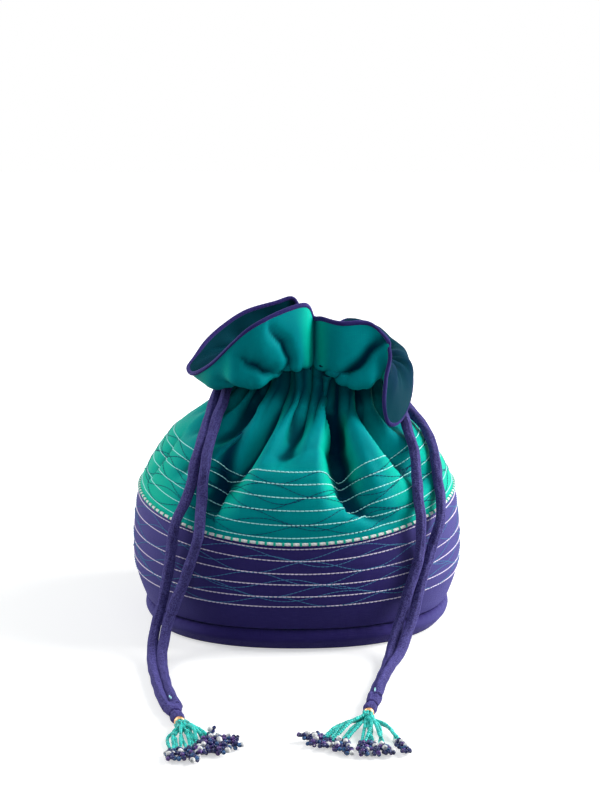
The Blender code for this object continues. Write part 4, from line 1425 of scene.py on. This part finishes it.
def smooth_line(points, spacing):
    """Evenly spaced points on the smooth curve through the given ones."""
    points = np.array(points, float)
    ends = np.concatenate(([points[0] * 2 - points[1]], points, [points[-1] * 2 - points[-2]]))
    share = np.linspace(0, 1, 12, endpoint=False)[:, None]
    fine = [catmull_rom(*ends[number:number + 4], share) for number in range(len(points) - 1)]
    fine = np.concatenate((*fine, points[-1:]))
    run = run_along(fine)
    places = np.linspace(0, run[-1], ceil(run[-1] / spacing) + 1)
    return read_along(places, run, fine)


def line_length(line):
    return float(np.linalg.norm(np.diff(line, axis=0), axis=1).sum())


def carried_frames(line):
    """Two directions across a line at each point, carried along it without a twist."""
    along = unit(np.gradient(line, axis=0))
    side = np.cross((0, 0, 1), along[0])
    sides = []
    for forward in along:
        side = unit(side - forward * side.dot(forward))
        sides.append(side)
    sides = np.array(sides)
    return sides, np.cross(along, sides)


def bell(distance):
    """1 at no distance, and soon next to nothing on both sides."""
    return np.exp(-(distance**2))


def cord_surface(line, diameter, around, ridge_turn, seed):
    """A sewn cloth tube along a line: a little uneven and flattened, with its seam as a ridge."""
    sides, ups = carried_frames(line)
    run = run_along(line)
    turns = 2 * pi * np.arange(around) / around
    uneven = 1 + 0.035 * np.sin(run / (9 * MM) + seed) + 0.025 * np.sin(run / (3.7 * MM) + 2.3 * seed)
    ridge_at = ridge_turn + 25 * np.sin(run / (40 * MM) + seed)[:, None]
    from_ridge = np.abs(turned(np.degrees(turns)[None], ridge_at))
    ridge = 0.34 * MM * bell(from_ridge / 13) - 0.22 * MM * bell((from_ridge - 24) / 9)
    puckers = 0.1 * MM * np.sin(run / (0.42 * MM) + seed)[:, None] * bell(from_ridge / 34)
    soft = 0.12 * MM * np.sin(run[:, None] / (2.9 * MM) + 3 * turns[None] + seed)
    slimmer = 1 - 0.16 * smooth((run / run[-1] - 0.68) / 0.25)
    radius = diameter / 2 * 0.965 * (uneven * slimmer)[:, None] + ridge + puckers + soft
    flat, upright = np.cos(turns)[None, :, None], np.sin(turns)[None, :, None]
    out = flat * sides[:, None] * 1.03 + upright * ups[:, None] * 0.96
    # Painted highlight along the seam's ridge, and painted shade in the valleys beside it.
    marks = {
        "hollow": between(from_ridge, 14, 6, 34, 6) * 0.8,
        "glow": 0.35 + 0.65 * bell(from_ridge / 12) + 0 * radius,
    }
    return Cloth(line[:, None] + out * radius[..., None], np.arange(len(line))), marks


def make_cord(scene, name, points, ridge_turn, seed, around=28, spacing=1.1 * MM):
    """One stretch of a drawstring, and the line that it follows."""
    line = smooth_line(points, spacing)
    diameter = scene.potli_cords.diameter
    surface, marks = cord_surface(line, diameter, around, ridge_turn, seed)
    mesh = sheet_mesh(name, surface, pi * diameter, closed_ends=True, marks=marks)
    piece = linked(name, mesh, cord_silk(scene))
    return piece, line


class Tassel(NamedTuple):
    """One drawstring's end: its strands, where the strings of beads end and where the beads beyond them lie.

    Places are millimetres on the floor. A branch is the number of its string, and its end's place and height.
    """

    side: int
    front: list
    back: list
    exit_height: float
    string_ends: list
    branches: list


TASSELS = {
    "left": Tassel(
        -1, LEFT_FRONT_STRAND, LEFT_BACK_STRAND, 150.6,
        [(-61.5, -248.6), (-58, -247), (-53.4, -246), (-50, -243), (-48.6, -239.9), (-45.6, -236),
         (-43.5, -232.6)],
        [(0, -60.5, -261.4, 2), (1, -55.4, -260.4, 2), (2, -48.5, -262.5, 2), (3, -46.1, -255.1, 2.6),
         (4, -41.5, -251, 2), (4, -34, -252.4, 2), (5, -33.5, -246.5, 2.4), (5, -27.5, -243.2, 2),
         (6, -29, -238.6, 3.4), (6, -41.5, -233, 7)],
    ),
    "right": Tassel(
        1, RIGHT_FRONT_STRAND, RIGHT_BACK_STRAND, 147.4,
        [(13.6, -230.5), (16.6, -234.8), (22.7, -235.2), (32.5, -238.5), (36.8, -236.4), (41.9, -239.8),
         (50.4, -235.4)],
        [(0, 1.8, -233.6, 3), (0, 6.5, -241.6, 2), (1, 13, -245.4, 2), (2, 20.6, -249.2, 2),
         (2, 26.3, -252.9, 2), (3, 33.5, -255.1, 2), (4, 39.6, -255.1, 2), (5, 46.5, -254, 2),
         (6, 55.1, -251.9, 2)],
    ),
}
RIDGES = {"left_front": 40, "left_back": 60, "right_front": 140, "right_back": 120}

# The white stitches that join each pair of strands, in millimetres: along the sewn end, across it, length and
# slant.
JOINING_STITCHES = {
    "left": [(-3.4, 0.3, 1.3, 0.1), (-5.6, 0.1, 1.0, -0.1)],
    "right": [(-2.6, -0.2, 5.0, 0.3)],
}
STRINGS = 7
STRING_SPACING = 0.42
# From one bead to the next, as a share of the bead.
SEED_PITCH, END_PITCH = 0.86, 0.74
END_BEAD_KINDS = ("navy_bead", "violet_bead", "blue_bead", "white_bead")
NAVY, VIOLET, BLUE, BLANK = range(4)
END_BEAD_ORDER = (NAVY, NAVY, BLANK, VIOLET, NAVY, BLUE, NAVY, BLANK, NAVY, VIOLET, BLUE, NAVY)
END_BEAD_SCALES = {NAVY: 0.88, VIOLET: 0.95, BLUE: 0.88, BLANK: 1.12}


def channel_line(tassel):
    """The hidden run of a drawstring round the neck, from one side of its exit to the other."""
    half_width, half_depth = 34.05 * MM, 28.05 * MM
    height = (149 + tassel.side * 3.4) * MM
    away = np.radians(np.linspace(24, 336, 60))
    x = tassel.side * half_width * np.cos(away)
    return np.stack((NECK_SHIFT + x, -half_depth * np.sin(away), height - NECK_TILT * x / half_width), 1)


def exit_points(tassel, front):
    """Where a strand starts inside the channel, and where it leaves through the slot, in metres."""
    y = -4.5 if front else 4.5
    wall = NECK_SHIFT / MM + tassel.side * 44
    inside = (wall - tassel.side * 8.6, y * 1.36, tassel.exit_height)
    leave = (wall + tassel.side * 2, y, tassel.exit_height)
    return np.array((inside, leave)) * MM


def wrap_frame(tassel):
    """Where the wrap starts, and the level direction that it runs in."""
    ends = [np.array(strand[-2:], float) * MM for strand in (tassel.front, tassel.back)]
    direction = sum(end[1] - end[0] for end in ends) * (1, 1, 0)
    direction = unit(direction)
    middle = (ends[0][1] + ends[1][1]) / 2
    furthest = max((end[1] - middle).dot(direction) for end in ends)
    return middle + direction * (furthest + 0.6 * MM), direction


def make_drawstrings(scene):
    """The four free strands and the two runs inside the channel."""
    sizes = scene.potli_cords
    for name, tassel in TASSELS.items():
        run, _ = make_cord(scene, f"drawstring_{name}_in_channel", channel_line(tassel), 0, 1.0, 16, 3 * MM)
        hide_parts(f"drawstring_{name}")
        _, direction = wrap_frame(tassel)
        for number, (place, strand) in enumerate((("front", tassel.front), ("back", tassel.back))):
            points = np.array(strand, float) * MM
            into_wrap = points[-1] + direction * 3.2 * MM
            exits = exit_points(tassel, place == "front")
            key = f"{name}_{place}"
            seed = 2.0 + number + tassel.side
            route = [*exits, *points, into_wrap]
            piece, line = make_cord(scene, f"drawstring_{key}", route, RIDGES[key], seed)
            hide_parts(f"drawstring_{name}")
            getattr(sizes, key)
            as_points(line)


WRAP_GIRTH = 0.03


def wrap_section(along):
    """Half width, half height and groove of the sewn end, at shares of its length."""
    places = np.array((-0.06, 0.0, 0.16, 0.34, 0.46, 0.56, 0.66, 0.76, 0.88, 0.96, 1.0))
    widths = np.array((5.0, 5.2, 5.0, 4.2, 3.4, 2.9, 3.4, 3.8, 3.6, 2.8, 1.2)) * MM
    heights = np.array((2.9, 2.95, 3.0, 3.1, 3.0, 2.8, 3.1, 3.3, 3.2, 2.5, 1.0)) * MM
    grooves = np.array((1.0, 1.0, 0.8, 0.5, 0.25, 0.1, 0.0, 0.0, 0.0, 0.0, 0.0)) * MM
    return [np.interp(along, places, values) for values in (widths, heights, grooves)]


def make_wrap(scene, side, tassel):
    """The sewn end: both strands under one cloth, a waist bound with thread and a knob."""
    length = scene.potli_tassels.wrap_length
    start, direction = wrap_frame(tassel)
    across = np.cross((0, 0, 1), direction)
    up = np.array((0, 0, 1.0))
    shares = np.linspace(-0.06, 1, 70)
    along = shares[:, None]
    widths, heights, grooves = (values[:, None] for values in wrap_section(shares))
    # The right end is narrower and stands higher.
    if side == "right":
        widths = widths * (1 - 0.22 * smooth((0.7 - along) / 0.3))
        heights = heights * (1 + 0.2 * smooth((0.5 - along) / 0.3))
    around = 40
    turns = 2 * pi * np.arange(around)[None] / around
    gathers = 0.16 * MM * np.sin(9 * turns + 6 * along) * bell((along - 0.58) / 0.16)
    soft = 0.14 * MM * np.sin(3 * turns + 14 * along + tassel.side)
    pinch = grooves * bell(np.abs(np.cos(turns)) / 0.3)
    sideways = np.cos(turns) * (widths + gathers + soft)
    upwards = np.sin(turns) * (heights + gathers + soft - pinch)
    middles = start + direction * (shares * length)[:, None]
    points = middles[:, None] + (across * sideways[..., None] + up * upwards[..., None])
    cloth = Cloth(points, np.arange(len(points)))
    # Painted shade in the waist's groove, and a painted highlight that is strongest on top.
    marks = {"hollow": smooth(pinch / (0.7 * MM)), "glow": 0.35 + 0.2 * np.sin(turns) + 0 * pinch}
    mesh = sheet_mesh(f"drawstring_end_{side}", cloth, WRAP_GIRTH, closed_ends=True, marks=marks)
    piece = linked(f"drawstring_end_{side}", mesh, cord_silk(scene))
    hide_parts(f"cord_wrap_{side}")
    rings = []
    for turn in range(5):
        share = 0.53 + 0.02 * turn
        width, height, _ = (value + 0.1 * MM for value in wrap_section(share))
        rings.append(np.array([
            start + direction * (share * length + 0.1 * MM * sin(angle * 2 + turn))
            + across * cos(angle) * width + up * sin(angle) * height
            for angle in np.linspace(0, 2 * pi, 25)[:-1]
        ]))
    binding = curve_piece(f"wrap_thread_{side}", rings, BOUND_THREAD, thread(scene, "indigo"), closed=True)
    stitches = []
    for place in JOINING_STITCHES[side]:
        forward, aside, reach, slant = (value * MM for value in place)
        middle = start + direction * forward + across * aside + up * 3.5 * MM
        half = direction * reach / 2 + across * slant
        steps = ((-1, -0.5), (-0.6, 0.15), (0, 0.2), (0.6, 0.15), (1, -0.5))
        stitches.append(np.array([middle + half * way + up * rise * MM for way, rise in steps]))
    sewn = curve_piece(f"joining_stitch_{side}", stitches, JOINING_THREAD, thread(scene, "pale_thread"))


def spun(name, profile, steps):
    """A mesh turned from a closed outline of (radius, height) round Z."""
    bm = bmesh.new()
    corners = [bm.verts.new((radius, 0, height)) for radius, height in profile]
    edges = [bm.edges.new(pair) for pair in zip(corners, corners[1:] + corners[:1])]
    bmesh.ops.spin(
        bm, geom=corners + edges, axis=(0, 0, 1), cent=(0, 0, 0), angle=2 * pi, steps=steps, use_merge=True,
        use_normal_flip=False)
    bmesh.ops.remove_doubles(bm, verts=bm.verts, dist=1e-7)
    bmesh.ops.recalc_face_normals(bm, faces=bm.faces)
    mesh = mesh_of(name, bm)
    mesh.shade_smooth()
    return mesh


def bead_outline(radius, hole, height, corners=3):
    """A bead's closed outline: a round outside, and its hole."""
    points = [(hole, -height / 2 * 0.8), (hole, height / 2 * 0.8)]
    for step in range(corners + 1):
        turn = pi / 2 - pi * step / corners
        points.append((hole + (radius - hole) * (0.45 + 0.55 * cos(turn)), height / 2 * sin(turn)))
    return points


def standing_at(centre, direction):
    """The transform that takes a piece made round Z to a place, facing a direction."""
    turn = Vector(direction).to_track_quat("Z", "X").to_matrix().to_4x4()
    return Matrix.Translation(Vector(centre)) @ turn


def strewn(name, shape, places, paints, kinds):
    """One mesh of many beads: a shape repeated at each centre, direction and size, in its kind of paint."""
    template = spun("bead", shape, 8)
    bm = bmesh.new()
    for (centre, direction, size), kind in zip(places, kinds):
        before = len(bm.verts)
        faces_before = len(bm.faces)
        bm.from_mesh(template)
        bm.verts.ensure_lookup_table()
        bm.faces.ensure_lookup_table()
        place = standing_at(centre, direction) @ Matrix.Scale(size, 4)
        bmesh.ops.transform(bm, matrix=place, verts=bm.verts[before:])
        for face in bm.faces[faces_before:]:
            face.material_index = kind
    mesh = mesh_of(name, bm)
    bpy.data.meshes.remove(template)
    mesh.shade_smooth()
    return linked(name, mesh, *paints)


def pushed_apart(centres, radii, rounds):
    """Beads moved until none lies in another or in the floor."""
    centres = centres.copy()
    for _ in range(rounds):
        gaps = centres[:, None] - centres[None]
        distance = np.linalg.norm(gaps, axis=-1) + np.eye(len(centres))
        overlap = np.maximum(radii[:, None] + radii[None] - distance, 0)
        np.fill_diagonal(overlap, 0)
        centres += (gaps / np.maximum(distance, 0.01 * MM)[..., None] * overlap[..., None] * 0.5).sum(1)
        centres[:, 2] = np.maximum(centres[:, 2], radii + 0.1 * MM)
    return centres


def bead_string(number, twin, first, end, direction, across):
    """The line of a string of beads from the ring to its end, or of its twin beside and above it."""
    reach = np.linalg.norm(end - first)
    rise = np.array((0, 0, (1.6 if number % 2 else 0.5) * MM + twin * 1.7 * MM))
    bulge = across * ((number - 3) / 3 + (0.8 if number < 4 else -0.8) * twin) * reach * 0.10
    leaving = first + direction * reach * 0.16 + rise * 0.4
    middle = (first * 0.5 + end * 0.5) + bulge + rise * 0.9
    return smooth_line([first, leaving, middle, end], 0.2 * MM)


def make_beads(scene, side, tassel):
    """The ring bead, the doubled strings of seed beads and the larger beads at their ends."""
    sizes = scene.potli_tassels
    start, direction = wrap_frame(tassel)
    across = np.cross((0, 0, 1), direction)
    knob_end = start + direction * sizes.wrap_length
    outline = bead_outline(sizes.gold_bead / 2, 1.2 * MM, 3.2 * MM, 8)
    ring = spun(f"ring_bead_{side}", outline, 40)
    ring.transform(standing_at(knob_end + direction * 1.5 * MM, direction))
    gold = linked(f"ring_bead_{side}", ring, polished_gold(scene))
    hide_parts(f"gold_bead_{side}")
    chance = Random(17 + tassel.side)
    seed = sizes.seed_bead
    places, lines = [], []
    out_of_ring = knob_end + direction * 3.4 * MM
    for count, (right, back) in enumerate(tassel.string_ends * 2):
        twin, number = divmod(count, STRINGS)
        height = (0.1 if number % 2 else -1.0) * MM
        offset = across * (number - 3 + 0.5 * twin) * STRING_SPACING * MM + (0, 0, height)
        end = np.array((right * MM, back * MM, seed * 0.62)) + across * twin * 1.3 * MM
        line = bead_string(number, twin, out_of_ring + offset, end, direction, across)
        lines.append(line)
        steps = np.linspace(0, line_length(line), len(line))
        along = unit(np.gradient(line, axis=0))
        for place in np.arange(seed * 2.2 * twin, steps[-1], seed * SEED_PITCH):
            wobble = np.array([chance.uniform(-0.3, 0.3) for _ in range(3)])
            facing = unit(read_along(place, steps, along) + wobble)
            places.append((read_along(place, steps, line), facing, chance.uniform(0.9, 1.12)))
    centres = np.array([centre for centre, _, _ in places])
    centres = pushed_apart(centres, np.full(len(places), seed * 0.43), 12)
    places = [(centre, *place[1:]) for centre, place in zip(centres, places)]
    outline = bead_outline(seed / 2, seed * 0.17, seed * 0.8)
    strings = strewn(f"seed_beads_{side}", outline, places, [glass(scene, "turquoise")], [0] * len(places))
    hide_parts(*(f"bead_string_{side}_{number + 1}" for number in range(STRINGS)))
    make_end_beads(scene, side, tassel, lines, chance)


def make_end_beads(scene, side, tassel, lines, chance):
    """The branches of larger beads beyond the strings, heaped a little and lying on the floor."""
    size = scene.potli_tassels.end_bead
    up = np.array((0, 0, 1))
    heaped = 0.93
    centres, ways, radii, kinds = [], [], [], []
    for number, (string, right, back, height) in enumerate(tassel.branches):
        first, end = lines[string][-1], np.array((right, back, height)) * MM
        way = unit(end - first)
        across = unit(np.cross((0, 0, 1), way))
        reach = np.linalg.norm(end - first)
        steps = max(3, round(reach / (size * END_PITCH)))
        spread = 0.45 if steps > 3 else 0
        for step in range(steps):
            for twin in range(3 if 0 < step < steps - 1 else 2):
                kind = END_BEAD_ORDER[(number * 5 + step * 2 + twin * 3) % len(END_BEAD_ORDER)]
                scale = END_BEAD_SCALES[kind] * chance.uniform(0.92, 1.08)
                turn = 2.4 * step + number + twin * 2.6
                aside = (across * cos(turn) + up * abs(sin(turn))) * size * spread
                centres.append(first + way * reach * (step + 0.7) / steps + aside)
                sideways = across * chance.uniform(-1, 1)
                ways.append(unit(way + sideways + np.array((0, 0, chance.uniform(-0.7, 0.7)))))
                radii.append(size * scale / 2 * heaped)
                kinds.append(kind)
    radii = np.array(radii)
    centres = pushed_apart(np.array(centres), radii, 60)
    places = [(centre, way, radius * 2 / heaped / size) for centre, way, radius in zip(centres, ways, radii)]
    paints = [glass(scene, kind) for kind in END_BEAD_KINDS]
    outline = bead_outline(size / 2, size * 0.15, size * 0.84)
    beads = strewn(f"end_beads_{side}", outline, places, paints, kinds)
    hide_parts(*(f"end_beads_{side}_{number + 1}" for number in range(STRINGS)))


def make_tassels(scene):
    for side, tassel in TASSELS.items():
        make_wrap(scene, side, tassel)
        make_beads(scene, side, tassel)


class POTLI_OT_stage(bpy.types.Operator):
    """Make the camera, the lights, the floor and the background"""

    bl_idname = "potli.stage"
    bl_label = "Stage"

    def execute(self, context):
        make_stage(context.scene)
        return {"FINISHED"}


class POTLI_OT_tassels(bpy.types.Operator):
    """Make the sewn ends of the drawstrings and their beads"""

    bl_idname = "potli.tassels"
    bl_label = "Tassels"

    def execute(self, context):
        make_tassels(context.scene)
        return {"FINISHED"}


class POTLI_OT_drawstrings(bpy.types.Operator):
    """Make the four free strands and the runs inside the channel"""

    bl_idname = "potli.drawstrings"
    bl_label = "Drawstrings"

    def execute(self, context):
        make_drawstrings(context.scene)
        return {"FINISHED"}


class POTLI_OT_base(bpy.types.Operator):
    """Make the rolled base"""

    bl_idname = "potli.base"
    bl_label = "Base"

    def execute(self, context):
        make_base(context.scene)
        return {"FINISHED"}


class POTLI_OT_lower_band(bpy.types.Operator):
    """Make the quilted band"""

    bl_idname = "potli.lower_band"
    bl_label = "Lower band"

    def execute(self, context):
        make_lower_band(context.scene)
        return {"FINISHED"}


class POTLI_OT_upper_wall(bpy.types.Operator):
    """Make the gathered upper cloth with its ruffle"""

    bl_idname = "potli.upper_wall"
    bl_label = "Upper wall"

    def execute(self, context):
        make_upper_wall(context.scene)
        return {"FINISHED"}


class POTLI_OT_lining(bpy.types.Operator):
    """Make the lining"""

    bl_idname = "potli.lining"
    bl_label = "Lining"

    def execute(self, context):
        make_lining(context.scene)
        return {"FINISHED"}


class POTLI_OT_binding(bpy.types.Operator):
    """Make the binding of the ruffle's edge"""

    bl_idname = "potli.binding"
    bl_label = "Edge binding"

    def execute(self, context):
        make_binding(context.scene)
        return {"FINISHED"}


class POTLI_OT_seam_cord(bpy.types.Operator):
    """Make the white cord on the seam and its stitches"""

    bl_idname = "potli.seam_cord"
    bl_label = "Seam cord"

    def execute(self, context):
        make_seam_cord(context.scene)
        return {"FINISHED"}


class POTLI_OT_quilting(bpy.types.Operator):
    """Make the rows of quilting stitches"""

    bl_idname = "potli.quilting"
    bl_label = "Quilting"

    def execute(self, context):
        make_quilting(context.scene)
        return {"FINISHED"}


OPERATORS = (
    POTLI_OT_stage, POTLI_OT_tassels, POTLI_OT_drawstrings, POTLI_OT_base, POTLI_OT_lower_band,
    POTLI_OT_upper_wall, POTLI_OT_lining, POTLI_OT_binding, POTLI_OT_seam_cord, POTLI_OT_quilting,
)


class POTLI_PT_bag(bpy.types.Panel):
    """The bag's sizes, colours and pieces"""

    bl_idname = "POTLI_PT_bag"
    bl_label = "Potli Bag"
    bl_space_type = "VIEW_3D"
    bl_region_type = "UI"
    bl_category = "Potli"

    def draw(self, context):
        for name, group in GROUPS.items():
            box = self.layout.box()
            box.label(text=group.__doc__)
            for key in group.__annotations__:
                box.prop(getattr(context.scene, name), key)
        for operator in OPERATORS:
            self.layout.operator(operator.bl_idname)


CLASSES = (*GROUPS.values(), *OPERATORS, POTLI_PT_bag)


def register():
    for made in CLASSES:
        bpy.utils.register_class(made)
    for name, group in GROUPS.items():
        setattr(bpy.types.Scene, name, PointerProperty(type=group))


def unregister():
    for name in GROUPS:
        delattr(bpy.types.Scene, name)
    for made in reversed(CLASSES):
        bpy.utils.unregister_class(made)


def main():
    register()
    for operator in OPERATORS:
        area, name = operator.bl_idname.split(".")
        getattr(getattr(bpy.ops, area), name)()


if __name__ == "__main__":
    main()
